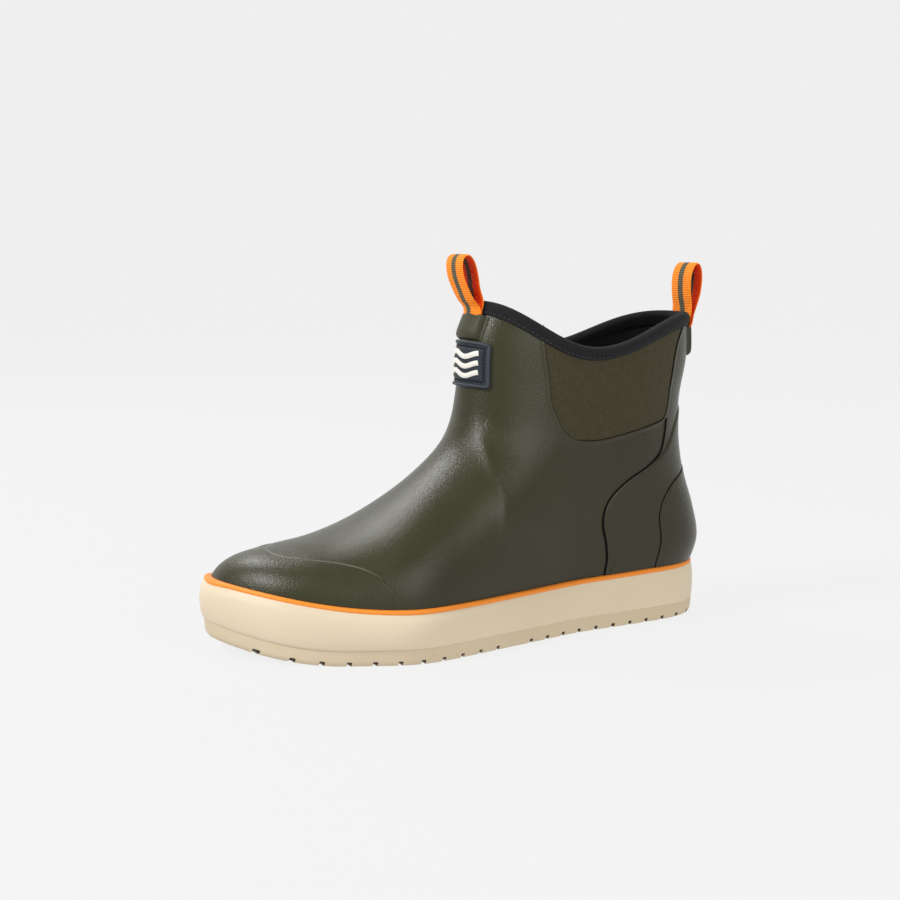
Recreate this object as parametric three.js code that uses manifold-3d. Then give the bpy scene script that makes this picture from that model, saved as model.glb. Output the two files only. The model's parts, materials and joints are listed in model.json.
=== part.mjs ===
// Ankle-height rubber deck boot for sailing, left foot, about size 42, built up in layers as a vulcanised boot is:
// a siped outsole, a midsole, a cream sidewall band, a rubber upper with stretch side panels, a neoprene lining,
// a bound collar and two webbing pull loops. All sizes are in millimetres.
// Frame: the toe points along -X, the outer (lateral) side along -Y, +Z is up. The origin is on the ground face
// of the outsole, half way along it.
import * as THREE from 'three';
import { mergeVertices } from 'three/addons/utils/BufferGeometryUtils.js';
import Module from 'manifold-3d';

const wasm = await Module();
wasm.setup();

// ---- driving dimensions ---------------------------------------------------------------------------------------
const LAST_LENGTH = 294;        // upper, from toe to heel
const LAST_WIDTH = 108;         // upper, across the ball of the foot
const COLLAR_HEIGHT = 184;      // ground to the front of the collar
const FIT_GAP = 0.3;            // clearance kept between touching pieces

const OUTSOLE_THICKNESS = 8.5;
const TREAD_DEPTH = 2.4;        // depth of the sipes cut in the ground face
const TREAD_WIDTH = 2.0;        // width of one sipe
const TREAD_PITCH = 12;         // distance from sipe to sipe
const TREAD_WAVE = 2.5;         // how far a sipe swings fore and aft
const TOE_SPRING = 8.4;         // how far the ground face lifts at the toe
const MIDSOLE_THICKNESS = 6;
const SIDEWALL_BULGE = 5.2;     // how far the sidewall stands out of the upper
const STRIPE_HEIGHT = 2.2;      // coloured bead along the top of the sidewall
const BOARD_THICKNESS = 2;      // insole board
const FOOTBED_THICKNESS = 5;
const FOOTBED_CUP = 3;          // how much higher the footbed is at its rim
const COVER_THICKNESS = 1;      // cloth on the footbed
const HEEL_PAD_LENGTH = 52;
const HEEL_PAD_WIDTH = 38;
const HEEL_PAD_THICKNESS = 2.4;

const RUBBER = 1.8;             // wall of the rubber upper
const LINING = 3.5;             // neoprene lining
const PANEL = 1.6;              // stretch side panel
const OVERLAY = 0.8;            // rubber laid over the upper: toe cap, counter, heel patch
const BINDING_HEIGHT = 9;
const BINDING_WALL = 1.2;
const SEAM_TAPE = 1;

const WEB_WIDTH = 19;           // pull-loop webbing
const WEB_THICKNESS = 1.2;
const TAB_WALL = 1.2;           // rubber tab moulded over the webbing's end
const TAB_BORDER = 2.6;         // flat edge of a tab beside the webbing
const BADGE_HEIGHT = 25;
const BADGE_ANGLE = 0.15;       // half the badge's width, as a share of half the way round the collar
const BADGE_THICKNESS = 2;
const BADGE_CORNER = 1.6;
const WAVE_COUNT = 3;           // raised wave lines on the badge
const WAVE_HEIGHT = 2.6;
const WAVE_SWING = 1.3;
const WAVE_RELIEF = 0.6;

// ---- the last: outlines drawn at 294 long, 108 wide and 184 high, then stretched to the sizes above --------------
const scaleX = LAST_LENGTH / 294;
const scaleY = LAST_WIDTH / 108;
const FEATHER = 30;                                     // height of the last's lower edge, which doesn't stretch
const scaleZ = (COLLAR_HEIGHT - FEATHER) / (184 - FEATHER);
const stretchXZ = ([x, z]) => [x * scaleX, FEATHER + (z - FEATHER) * scaleZ];
const stretchXY = ([x, y]) => [x * scaleX, y * scaleY];
const stretchZ = ([z, ratio]) => [FEATHER + (z - FEATHER) * scaleZ, ratio];

// front of the boot in side view, from the toe to the collar, and back of it from the heel to the collar
const FRONT_PROFILE = [[-144.3, 34.7], [-139.5, 44], [-128.5, 51.3], [-109.5, 55.4], [-85.5, 59.9], [-59.5, 70.5],
  [-26.6, 91], [-8.2, 110], [-3.2, 134], [-3.6, 160], [6.5, 183.7]].map(stretchXZ);
const BACK_PROFILE = [[143.7, 28], [149.7, 44], [146.3, 62], [139.8, 82], [136.3, 104], [137.8, 126], [143.2, 150],
  [143.1, 175.2]].map(stretchXZ);
// half width of the foot, and how far its middle lies from the long axis, along the foot
const HALF_WIDTHS = [[-141.5, 36.5], [-115.5, 42.2], [-87.5, 49], [-59.5, 54.2], [-27.5, 50.2], [7.5, 43.1],
  [42.5, 37.9], [82.5, 36.1], [112.5, 34.2], [142.5, 35.9]].map(stretchXY);
const MIDDLE_LINE = [[-141.5, 12.2], [-122.5, 5.5], [-97.5, 2], [-57.5, -5.3], [-17.5, -4.7], [22.5, -3],
  [62.5, 0.6], [142.5, 2.2]].map(stretchXY);
// how much narrower or wider the shaft is than the foot below it, by height
const NECK = [[30, 1], [60, 0.98], [90, 0.96], [120, 0.97], [150, 1], [190, 1.03]].map(stretchZ);
const COLLAR_HALF_WIDTH = 30.1 * scaleY;
const TOE_ROUND = 52 * scaleX;      // length over which the toe rounds in
const HEEL_ROUND = 40 * scaleX;
const FRONT_ROUND = [60, 51.5];     // the same for the front of the shaft, at its foot and at the collar
const BACK_ROUND = 63.2;            // and for the back of the collar
const COLLAR_DIP = 22.2;            // how far the collar dips at the side
// height of the stripe's middle along the boot
const STRIPE_LINE = [[-142.5, 38.7], [-87.5, 28.7], [-27.5, 27.4], [32.5, 28.2], [92.5, 29.3], [142.5, 30.2]]
  .map(([x, z]) => [x * scaleX, z]);

// ---- small maths ------------------------------------------------------------------------------------------------
const lerp = THREE.MathUtils.lerp;
const clamp = THREE.MathUtils.clamp;
const smooth = (a, b, x) => THREE.MathUtils.smoothstep(x, a, b);
const range = (n) => Array.from({ length: n }, (_, i) => i);

// a smooth open curve through the points, as a dense list of [a, b]
function smoothLine(points, steps = 24) {
  const first = points[0];
  const last = points[points.length - 1];
  const before = first.map((v, k) => 2 * v - points[1][k]);
  const after = last.map((v, k) => 2 * v - points[points.length - 2][k]);
  const all = [before, ...points, after];
  const line = [];
  for (let i = 1; i < all.length - 2; i++) {
    for (let s = 0; s < steps; s++) {
      const u = s / steps;
      line.push([0, 1].map((k) => {
        const [a, b, c, d] = [all[i - 1][k], all[i][k], all[i + 1][k], all[i + 2][k]];
        return 0.5 * (2 * b + (c - a) * u + (2 * a - 5 * b + 4 * c - d) * u * u + (3 * b - a - 3 * c + d) * u ** 3);
      }));
    }
  }
  line.push(last);
  return line;
}

// reads a list of [input, output] pairs, straight between them; key says which of the two is the input
function read(line, x, key = 0) {
  const out = 1 - key;
  if (x <= line[0][key]) return line[0][out];
  for (let i = 1; i < line.length; i++) {
    if (x <= line[i][key]) {
      const span = line[i][key] - line[i - 1][key];
      return lerp(line[i - 1][out], line[i][out], span > 0 ? (x - line[i - 1][key]) / span : 1);
    }
  }
  return line[line.length - 1][out];
}

// turns a curve into a function of the share of its length
function byLength(line) {
  const lengths = [0];
  for (let i = 1; i < line.length; i++) {
    lengths.push(lengths[i - 1] + Math.hypot(line[i][0] - line[i - 1][0], line[i][1] - line[i - 1][1]));
  }
  const total = lengths[lengths.length - 1];
  const xs = lengths.map((l, i) => [l / total, line[i][0]]);
  const zs = lengths.map((l, i) => [l / total, line[i][1]]);
  return (t) => [read(xs, t), read(zs, t)];
}

const front = smoothLine(FRONT_PROFILE);
const back = smoothLine(BACK_PROFILE);
const halves = smoothLine(HALF_WIDTHS);
const middles = smoothLine(MIDDLE_LINE);
const frontAt = byLength(front);
const backAt = byLength(back);

// rises from 0 at an edge to 1 inside it, as the quarter of a rounded square does
const roundOff = (q, power) => (1 - (1 - clamp(q, 0, 1)) ** power) ** (1 / power);

// ---- the outside of the rubber upper ------------------------------------------------------------------------------
// turn goes round the boot: 0 at the middle of the front, -1 and 1 at the middle of the back, negative on the
// outer side. rise goes from 0 at the last's lower edge to 1 at the collar, and down to -1 for the skirt inside
// the sidewall.
const springAt = (x) => TOE_SPRING * (clamp((-x / scaleX - 92.5) / 51.5, 0, 1.1)) ** 2;
const SKIRT_FOOT = OUTSOLE_THICKNESS + FIT_GAP + MIDSOLE_THICKNESS + FIT_GAP;

function halfWidth(x, z) {
  const foot = read(halves, x);
  const toe = roundOff((x - front[0][0]) / TOE_ROUND, 2.2);
  const roof = read(front, x);
  const level = clamp((z - FEATHER) / Math.max(roof - FEATHER, 1e-6), 0, 1);
  const arch = (1 - level ** 2.3) ** (1 / 2.1);
  const shaft = smooth(60, FEATHER + 160 * scaleZ, z);
  const side = foot * (1 - shaft) * read(NECK, z) + COLLAR_HALF_WIDTH * shaft;
  const frontEnd = roundOff((x - read(front, z, 1)) / (scaleX * lerp(...FRONT_ROUND, shaft)), 2);
  const backEnd = roundOff((read(back, z, 1) - x) / lerp(HEEL_ROUND, BACK_ROUND * scaleX, shaft), 2.1);
  const isShaft = smooth(-38, 38, x / scaleX + 15.5 + (z - 95) * 0.55);
  return side * backEnd * ((1 - isShaft) * toe * arch + isShaft * frontEnd);
}

function surface(turn, rise) {
  const phi = turn - 2 * Math.round(turn / 2);
  const t = clamp(rise, 0, 1);
  const along = (1 - Math.cos(Math.PI * Math.abs(phi))) / 2;
  const [fx, fz] = frontAt(t);
  const [bx, bz] = backAt(t);
  const dip = COLLAR_DIP * Math.max(Math.sin(Math.PI * Math.max(along, 1e-9) ** 0.8), 1e-9) ** 1.9;
  const x = lerp(fx, bx, along);
  const z = lerp(fz, bz, along) - dip * smooth(0.45, 1, t) ** 1.2;
  const middle = read(middles, x) * (1 - smooth(60, 120, z));
  const y = middle + Math.sign(phi) * halfWidth(x, z);
  const foot = SKIRT_FOOT + springAt(x);
  return new THREE.Vector3(x, y, rise < 0 ? lerp(z, foot, -rise) : z);
}

// a point of a layer that lies offset outside the surface, along its normal
function skin(turn, rise, offset) {
  const step = 0.004;
  const low = Math.min(rise, 1 - step);
  const across = surface(turn + step, low).sub(surface(turn - step, low));
  const up = surface(turn, low + step).sub(surface(turn, low - step));
  const normal = up.cross(across).normalize();
  if (rise <= 0) {
    normal.setZ(0).normalize();
  }
  return surface(turn, rise).addScaledVector(normal, offset);
}

// millimetres along the surface for a unit of rise, and of turn
const riseScale = (turn, rise) => surface(turn, Math.min(rise + 0.02, 1)).distanceTo(surface(turn, rise - 0.02))
  / (Math.min(rise + 0.02, 1) - rise + 0.02);
const turnScale = (turn, rise) => surface(turn + 0.01, rise).distanceTo(surface(turn - 0.01, rise)) / 0.02;
const belowRim = (turn, depth) => 1 - depth / riseScale(turn, 1);

// rise at which the surface is at a height
function riseAt(turn, heightAt) {
  let low = -1;
  let high = 1;
  while (high - low > 1e-5) {
    const mid = (low + high) / 2;
    const p = surface(turn, mid);
    if (p.z < heightAt(p.x)) low = mid;
    else high = mid;
  }
  return low;
}
const stripeTop = (x) => read(STRIPE_LINE, x) + STRIPE_HEIGHT / 2;
const stripeFoot = (x) => read(STRIPE_LINE, x) - STRIPE_HEIGHT / 2;

// ---- closed meshes --------------------------------------------------------------------------------------------------
function geometryOf(points, triangles) {
  const geometry = new THREE.BufferGeometry();
  geometry.setAttribute('position', new THREE.Float32BufferAttribute(points.flatMap((p) => p.toArray()), 3));
  geometry.setIndex(triangles);
  const merged = mergeVertices(geometry, 1e-3);
  const index = merged.index.array;
  const whole = [];
  for (let i = 0; i < index.length; i += 3) {
    const [a, b, c] = [index[i], index[i + 1], index[i + 2]];
    if (a !== b && b !== c && c !== a) whole.push(a, b, c);
  }
  merged.setIndex(whole);
  return facingOut(merged);
}

function facingOut(geometry) {
  const p = geometry.attributes.position;
  const index = [...geometry.index.array];
  const corner = (i) => new THREE.Vector3().fromBufferAttribute(p, i);
  let volume = 0;
  for (let i = 0; i < index.length; i += 3) {
    volume += corner(index[i]).dot(corner(index[i + 1]).cross(corner(index[i + 2])));
  }
  geometry.setIndex(volume > 0 ? index : index.reverse());
  return geometry;
}

const splitCell = (a, b, c, d, isOuter) => (isOuter ? [a, b, c, a, c, d] : [a, b, d, b, c, d]);

// the closed solid whose section rows[i] is a ring of points, its outer side first and then its inner side turned
// back. The sections close on themselves when loop is true, and otherwise the first and last are filled in. Both
// sides split their cells along the same diagonal, so that layers on each other keep their gap.
function loft(rows, loop) {
  const m = rows[0].length;
  const at = (i, j) => (i % rows.length) * m + (j % m);
  const triangles = [];
  for (const i of range(loop ? rows.length : rows.length - 1)) {
    for (const j of range(m)) {
      triangles.push(...splitCell(at(i, j), at(i + 1, j), at(i + 1, j + 1), at(i, j + 1), j < m / 2));
    }
  }
  if (!loop) {
    const last = rows.length - 1;
    for (const j of range(m / 2 - 1)) {     // the ends are strips between a row's two sides
      const k = m - 1 - j;
      triangles.push(at(0, j), at(0, j + 1), at(0, k - 1), at(0, j), at(0, k - 1), at(0, k));
      triangles.push(at(last, j), at(last, k - 1), at(last, j + 1), at(last, j), at(last, k), at(last, k - 1));
    }
  }
  return geometryOf(rows.flat(), triangles);
}

function solidOf(geometry) {
  return new wasm.Manifold(new wasm.Mesh({
    numProp: 3,
    vertProperties: new Float32Array(geometry.attributes.position.array),
    triVerts: new Uint32Array(geometry.index.array),
  }));
}

const cut = (geometry, ...tools) => geometryFrom(tools.reduce((solid, tool) => solid.subtract(solidOf(tool)),
  solidOf(geometry)));
const kept = (geometry, place) => geometryFrom(solidOf(geometry).intersect(solidOf(place)));

function geometryFrom(solid) {
  const mesh = solid.getMesh();
  const made = new THREE.BufferGeometry();
  const points = [];
  for (let i = 0; i < mesh.vertProperties.length; i += mesh.numProp) {
    points.push(...mesh.vertProperties.slice(i, i + 3));
  }
  made.setAttribute('position', new THREE.Float32BufferAttribute(points, 3));
  made.setIndex([...mesh.triVerts]);
  return made;
}

const TURNS = 36;               // steps round the boot, the same in every layer, so that facets lie face to face
const RISES = [0, 0.03, 0.08, 0.15, 0.25, 0.38, 0.54, 0.7, 0.85];
const RIM_DROP = BINDING_WALL + 2 * FIT_GAP;            // a wall's cut edge lies this far below the collar's top
const levelsAt = (turn) => [-1, ...RISES.map((rise) => rise * belowRim(turn, BINDING_HEIGHT)),
  belowRim(turn, BINDING_HEIGHT), belowRim(turn, RIM_DROP)];

// a wall between two offsets, all the way round and from the skirt to the collar
function layer(outer, inner) {
  const rows = range(TURNS).map((i) => {
    const turn = (2 * i) / TURNS;
    const levels = levelsAt(turn);
    const out = levels.map((rise) => skin(turn, rise, outer));
    const inside = levels.map((rise) => skin(turn, rise, inner));
    return [...out, ...inside.reverse()];
  });
  return loft(rows, true);
}

// the space over a patch of the surface, between two equally long lines of [turn, rise]
const REGION_DEPTH = [5, -5];
function region(bottom, top, steps, [high, low] = REGION_DEPTH) {
  const rows = bottom.map((foot, i) => {
    const cells = range(steps + 1).map((j) => [0, 1].map((k) => lerp(foot[k], top[i][k], j / steps)));
    const out = cells.map(([turn, rise]) => skin(turn, rise, high));
    const inside = cells.map(([turn, rise]) => skin(turn, rise, low));
    return [...out, ...inside.reverse()];
  });
  return loft(rows, false);
}

// webbing or a tab on the collar: columns is a list of [turn, extra inner offset, outer offset above the inner],
// stations a list of [millimetres below the rim, inner offset]
function strap(columns, stations) {
  const rows = columns.map(([turn, extra, thickness]) => {
    const points = (add) => stations.map(([drop, offset]) => skin(turn, belowRim(turn, drop), offset + extra + add));
    return [...points(thickness), ...points(0).reverse()];
  });
  return loft(rows, false);
}

// moves a line of [turn, rise] sideways on the surface by a distance in millimetres, to its left
function shifted(line, distance) {
  return line.map(([turn, rise], i) => {
    const before = line[Math.max(i - 1, 0)];
    const after = line[Math.min(i + 1, line.length - 1)];
    const a = turnScale(turn, rise);
    const b = riseScale(turn, rise);
    const direction = [(after[0] - before[0]) * a, (after[1] - before[1]) * b];
    const length = Math.hypot(...direction);
    return [turn - (direction[1] / length) * (distance / a), rise + (direction[0] / length) * (distance / b)];
  });
}
const mirrored = (line) => line.map(([turn, rise]) => [-turn, rise]);

// ---- the sole's outlines -------------------------------------------------------------------------------------------
// a point moved level, by offset, out of the last's lower edge, at a height above the sprung ground line
function edgePoint(turn, offset, height) {
  const p = skin(turn, -0.5, offset);
  return p.setZ(height + springAt(p.x));
}

// the same, but moved out of the upper's own wall at that height
function wallPoint(turn, offset, heightAt) {
  const rise = riseAt(turn, heightAt);
  const level = skin(turn, rise, offset).sub(surface(turn, rise)).setZ(0).setLength(Math.abs(offset));
  const p = surface(turn, rise).add(level);
  return p.setZ(heightAt(p.x));
}

// a band round the sole: outer is a list of [offset, height], from its foot up, where a height depends on x; its
// inner side follows the upper's wall
function soleBand(outer) {
  const foot = outer[0][1];
  const top = outer[outer.length - 1][1];
  const rows = range(TURNS).map((i) => {
    const turn = (2 * i) / TURNS;
    const out = outer.map(([offset, heightAt]) => {
      const p = edgePoint(turn, offset, 0);
      return p.setZ(heightAt(p.x));
    });
    const bend = (x) => clamp(surface(turn, 0).z, foot(x), top(x));
    return [...out, ...[top, bend, foot].map((heightAt) => wallPoint(turn, FIT_GAP, heightAt))];
  });
  return loft(rows, true);
}

// a plate that fills the outline: levels is a list of [offset, height, cup] from its underside to its top face,
// where cup is how much higher that face is at its rim. Its rows meet at the toe and at the heel, so it is closed.
const CUP_REACH = 30;            // length over which a cupped face rises to its ends
function solePlate(levels, across = 4) {
  const stations = TURNS / 2;
  const rim = (turn, offset, height) => (offset > 0 ? edgePoint(turn, offset, height)
    : wallPoint(turn, offset || -1e-3, (x) => height + springAt(x)));
  const rows = range(stations + 1).map((i) => {
    const turn = i / stations;
    const [under, over] = [levels[0], levels[levels.length - 1]];
    const face = ([offset, height, cup = 0]) => range(across + 1).map((j) => {
      const share = j / across;
      const p = rim(-turn, offset, height + cup).lerp(rim(turn, offset, height + cup), share);
      const fromEnd = Math.min(p.x - rim(0, offset, height + cup).x, rim(1, offset, height + cup).x - p.x);
      const hollow = (1 - (2 * share - 1) ** 2) * smooth(0, CUP_REACH, fromEnd);
      return p.setZ(height + springAt(p.x) + cup * (1 - hollow));
    });
    const side = (sign) => levels.slice(1, -1).map(([offset, height]) => rim(sign * turn, offset, height));
    return [...face(under), ...side(1), ...face(over).reverse(), ...side(-1).reverse()];
  });
  const m = rows[0].length;
  const at = (i, j) => i * m + (j % m);
  const triangles = [];
  for (const i of range(stations)) {
    for (const j of range(m)) {
      triangles.push(...splitCell(at(i, j), at(i + 1, j), at(i + 1, j + 1), at(i, j + 1), j < m / 2));
    }
  }
  return geometryOf(rows.flat(), triangles);
}

// ---- the pieces ------------------------------------------------------------------------------------------------------
const boot = new THREE.Group();

const finishes = {
  rubber: { color: 0x3f3d2a, roughness: 0.55 },
  rubberTab: { color: 0x55523c, roughness: 0.6 },
  stretch: { color: 0x4a4733, roughness: 0.95 },
  sidewall: { color: 0xdccbaf, roughness: 0.6 },
  tread: { color: 0xd3c19f, roughness: 0.7 },
  stripe: { color: 0xef8a1d, roughness: 0.5 },
  foam: { color: 0xb9b6ac, roughness: 0.9 },
  board: { color: 0x8b7355, roughness: 0.9 },
  lining: { color: 0x1b1a1c, roughness: 0.95 },
  binding: { color: 0x2c2b2e, roughness: 0.9 },
  tape: { color: 0x36343a, roughness: 0.8 },
  footbedFoam: { color: 0x3a3d42, roughness: 0.9 },
  cover: { color: 0x24262a, roughness: 0.95 },
  gel: { color: 0x3d6f8c, roughness: 0.5 },
  webbing: { color: 0xf08a24, roughness: 0.85 },
  badge: { color: 0x2b3340, roughness: 0.6 },
  emblem: { color: 0xe6e1d6, roughness: 0.5 },
};

function add(name, geometry, finish) {
  const mesh = new THREE.Mesh(geometry, new THREE.MeshStandardMaterial({ metalness: 0, ...finishes[finish] }));
  mesh.name = name;
  boot.add(mesh);
}

// ---- sole ----
const MIDSOLE_FOOT = OUTSOLE_THICKNESS + FIT_GAP;

// a sipe: a wavy bar that crosses the whole sole at x, reaching from below the ground to TREAD_DEPTH
function sipe(x) {
  const reach = LAST_WIDTH;
  const points = range(5).map((k) => {
    const y = lerp(-reach, reach, k / 4);
    return new THREE.Vector2(x + TREAD_WAVE * (k % 2 ? 1 : -1), y);
  });
  const otherSide = points.map((p) => new THREE.Vector2(p.x + TREAD_WIDTH, p.y)).reverse();
  const bar = new THREE.ExtrudeGeometry(new THREE.Shape([...points, ...otherSide]),
    { depth: 2 * TREAD_DEPTH, bevelEnabled: false });
  bar.translate(0, 0, springAt(x) - TREAD_DEPTH);
  bar.deleteAttribute('normal');
  bar.deleteAttribute('uv');
  return facingOut(mergeVertices(bar, 1e-4));
}

const outsoleBlank = solePlate([[0.6, 0], [2, 1.8], [3, OUTSOLE_THICKNESS - 1], [3, OUTSOLE_THICKNESS]]);
// the sipe nearest the middle is left out, so the ground face is whole at the origin
const SIPES_EACH_WAY = 11;
const sipePlaces = range(2 * SIPES_EACH_WAY + 1).map((k) => (k - SIPES_EACH_WAY) * TREAD_PITCH - TREAD_WIDTH / 2)
  .filter((x) => Math.abs(x) > TREAD_PITCH / 2);
add('outsole', cut(outsoleBlank, ...sipePlaces.map(sipe)), 'tread');
add('midsole', solePlate([[0, MIDSOLE_FOOT], [0, MIDSOLE_FOOT + MIDSOLE_THICKNESS]]), 'foam');

const wallFoot = (x) => MIDSOLE_FOOT + springAt(x);
const wallTop = (x) => stripeFoot(x) - FIT_GAP;
const wallAt = (share) => (x) => lerp(wallFoot(x), wallTop(x), share);
add('foxing_band', soleBand([
  [SIDEWALL_BULGE - 1.6, wallFoot], [SIDEWALL_BULGE - 0.3, wallAt(0.25)], [SIDEWALL_BULGE, wallAt(0.52)],
  [SIDEWALL_BULGE - 0.7, wallAt(0.78)], [SIDEWALL_BULGE - 2.2, wallAt(0.95)], [SIDEWALL_BULGE - 2.9, wallTop],
]), 'sidewall');
add('foxing_stripe', soleBand([
  [SIDEWALL_BULGE - 2.8, stripeFoot], [SIDEWALL_BULGE - 2.4, (x) => read(STRIPE_LINE, x)],
  [SIDEWALL_BULGE - 3, stripeTop],
]), 'stripe');

// ---- upper ----
const liningOut = -RUBBER - FIT_GAP;
const liningIn = liningOut - LINING;

// the stretch panel's outline on one side: from the front of the collar down, back, and up to the collar again
const PANEL_OUTLINE = smoothLine([[0.28, 1.01], [0.285, 0.985], [0.33, 0.884], [0.341, 0.804], [0.364, 0.75],
  [0.39, 0.704], [0.44, 0.654], [0.495, 0.625], [0.554, 0.61], [0.671, 0.612], [0.735, 0.62], [0.75, 0.66],
  [0.745, 0.74], [0.747, 0.84], [0.775, 0.91], [0.845, 0.975], [0.88, 1.01]], 2);
const closing = (line, rise) => line.map((_, i) => [lerp(line[0][0], line[line.length - 1][0],
  i / (line.length - 1)), rise]);
const windowLine = shifted(PANEL_OUTLINE, -FIT_GAP);
const panelRegion = (line, side) => region(side(line), side(closing(line, 1.01)), 4);
const sides = { lateral: mirrored, medial: (line) => line };
add('upper_shell', cut(layer(0, -RUBBER), ...Object.values(sides).map((side) => panelRegion(windowLine, side))),
  'rubber');
for (const [name, side] of Object.entries(sides)) {
  add(`stretch_panel_${name}`, kept(layer(PANEL - RUBBER, -RUBBER), panelRegion(PANEL_OUTLINE, side)), 'stretch');
}
add('lining_sock', layer(liningOut, liningIn), 'lining');
const bindOut = FIT_GAP + BINDING_WALL;
const bindIn = liningIn - bindOut;
const BINDING_EDGE = 1;                                 // rounding of the binding's top edges
add('collar_binding', loft(range(TURNS).map((i) => {
  const turn = (2 * i) / TURNS;
  const under = RIM_DROP - FIT_GAP;
  return [[bindOut, BINDING_HEIGHT], [bindOut, BINDING_EDGE], [bindOut - BINDING_EDGE, 0],
    [bindIn + BINDING_EDGE, 0], [bindIn, BINDING_EDGE], [bindIn, BINDING_HEIGHT],
    [bindIn + BINDING_WALL, BINDING_HEIGHT], [bindIn + BINDING_WALL, under], [FIT_GAP, under],
    [FIT_GAP, BINDING_HEIGHT]].map(([offset, drop]) => skin(turn, belowRim(turn, drop), offset));
}), true), 'binding');

// ---- overlays on the upper ----
const overStripe = (turn) => riseAt(turn, (x) => stripeTop(x) + 2 * FIT_GAP);
const bothSides = (half) => [...mirrored(half).reverse(), ...half.slice(1)];
const roundTheBack = (half) => [...half, ...half.slice(0, -1).reverse().map(([turn, rise]) => [2 - turn, rise])];
// an overlay from the sidewall's stripe up to a line whose ends are on the stripe
function overlay(line, steps, lift) {
  const foot = line.map((_, i) => lerp(line[0][0], line[line.length - 1][0], i / (line.length - 1)))
    .map((turn) => [turn, overStripe(turn)]);
  const top = line.map(([turn, rise]) => [turn, Math.max(rise, overStripe(turn) + 0.001)]);
  return kept(layer(lift + OVERLAY, lift), region(foot, top, steps));
}
const TOE_CAP_LINE = [[0, 0.15], [0.06, 0.138], [0.117, 0.124], [0.172, 0.118], [0.22, 0.11],
  [0.249, 0.1], [0.273, 0.085], [0.3, 0.055], [0.318, 0.03], [0.336, -0.1]];
add('toe_cap', overlay(bothSides(TOE_CAP_LINE), 3, FIT_GAP), 'rubber');
const COUNTER_LINE = [[0.666, -0.15], [0.654, 0.055], [0.64, 0.105], [0.622, 0.19], [0.613, 0.26],
  [0.614, 0.316], [0.627, 0.364], [0.656, 0.408], [0.703, 0.446], [0.76, 0.49], [0.8, 0.54], [0.83, 0.585],
  [0.88, 0.625], [0.94, 0.645], [1, 0.65]];
add('heel_counter', overlay(roundTheBack(COUNTER_LINE), 5, FIT_GAP), 'rubber');
const HEEL_PATCH_LINE = [[0.766, -0.1], [0.751, 0.078], [0.739, 0.198], [0.742, 0.259], [0.756, 0.308],
  [0.793, 0.358], [0.86, 0.388], [0.93, 0.4], [1, 0.405]];
add('heel_patch', overlay(roundTheBack(HEEL_PATCH_LINE), 4, OVERLAY + 2 * FIT_GAP), 'rubber');

// ---- footbed and what is under it ----
const inside = liningIn - FIT_GAP;
const BOARD_FOOT = SKIRT_FOOT;
const FOOTBED_FOOT = BOARD_FOOT + BOARD_THICKNESS + FIT_GAP;
const COVER_FOOT = FOOTBED_FOOT + FOOTBED_THICKNESS + FIT_GAP;
const HEEL_PAD_CENTRE = 108 * scaleX;
const ellipsePlate = (grow, foot, thickness) => {
  const plate = new THREE.CylinderGeometry(1, 1, thickness, 28);
  plate.rotateX(Math.PI / 2);
  plate.scale(HEEL_PAD_LENGTH / 2 + grow, HEEL_PAD_WIDTH / 2 + grow, 1);
  plate.translate(HEEL_PAD_CENTRE, read(middles, HEEL_PAD_CENTRE), foot + thickness / 2);
  plate.deleteAttribute('normal');
  plate.deleteAttribute('uv');
  return facingOut(mergeVertices(plate, 1e-4));
};
add('insole_board', solePlate([[inside, BOARD_FOOT], [inside, BOARD_FOOT + BOARD_THICKNESS]]), 'board');
const footbedBlank = solePlate([[inside, FOOTBED_FOOT], [inside, FOOTBED_FOOT + FOOTBED_THICKNESS, FOOTBED_CUP]]);
const padPocket = ellipsePlate(FIT_GAP, FOOTBED_FOOT - 1, HEEL_PAD_THICKNESS + 1 + FIT_GAP);
add('footbed', cut(footbedBlank, padPocket), 'footbedFoam');
add('heel_pad', ellipsePlate(0, FOOTBED_FOOT, HEEL_PAD_THICKNESS), 'gel');
const coverFaces = [COVER_FOOT, COVER_FOOT + COVER_THICKNESS].map((height) => [inside, height, FOOTBED_CUP]);
add('footbed_cover', solePlate(coverFaces), 'cover');
const tapeLine = (rise) => [0.965, 1, 1.035].map((turn) => [turn, rise]);
const tapeOut = liningIn - FIT_GAP;
add('back_seam_tape', kept(layer(tapeOut, tapeOut - SEAM_TAPE),
  region(tapeLine(0.3), tapeLine(0.84), 8, [tapeOut + SEAM_TAPE, tapeOut - 2 * SEAM_TAPE])), 'tape');

// ---- pull loops, their sewn ends and the tabs over them ----
// turn that lies a distance y beside the middle of the front or of the back, near the collar
const besideMiddle = (middle, y) => middle + y / turnScale(middle, 0.95);
const overBinding = bindOut + FIT_GAP;                  // offset of webbing that passes over the binding
const PLIES = 2 * WEB_THICKNESS;                        // a loop's two ends lie on each other
const TAB_DROP = BINDING_HEIGHT + 1.6;                  // a tab's top edge, below the collar's top
const TAIL_MARGIN = 1.5;                                // the webbing ends this far above the tab's lower edge

// sewn webbing that lies on the upper and passes over the binding's outside
function sewnEnd(middle, length) {
  const columns = range(5).map((i) => [besideMiddle(middle, lerp(-WEB_WIDTH / 2, WEB_WIDTH / 2, i / 4)), 0, PLIES]);
  const lowest = TAB_DROP + length - TAIL_MARGIN;
  return strap(columns, [[lowest, FIT_GAP], [lerp(lowest, TAB_DROP, 0.5), FIT_GAP], [TAB_DROP, FIT_GAP],
    [BINDING_HEIGHT + FIT_GAP, overBinding], [BINDING_HEIGHT / 2, overBinding], [-FIT_GAP, overBinding]]);
}
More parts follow.
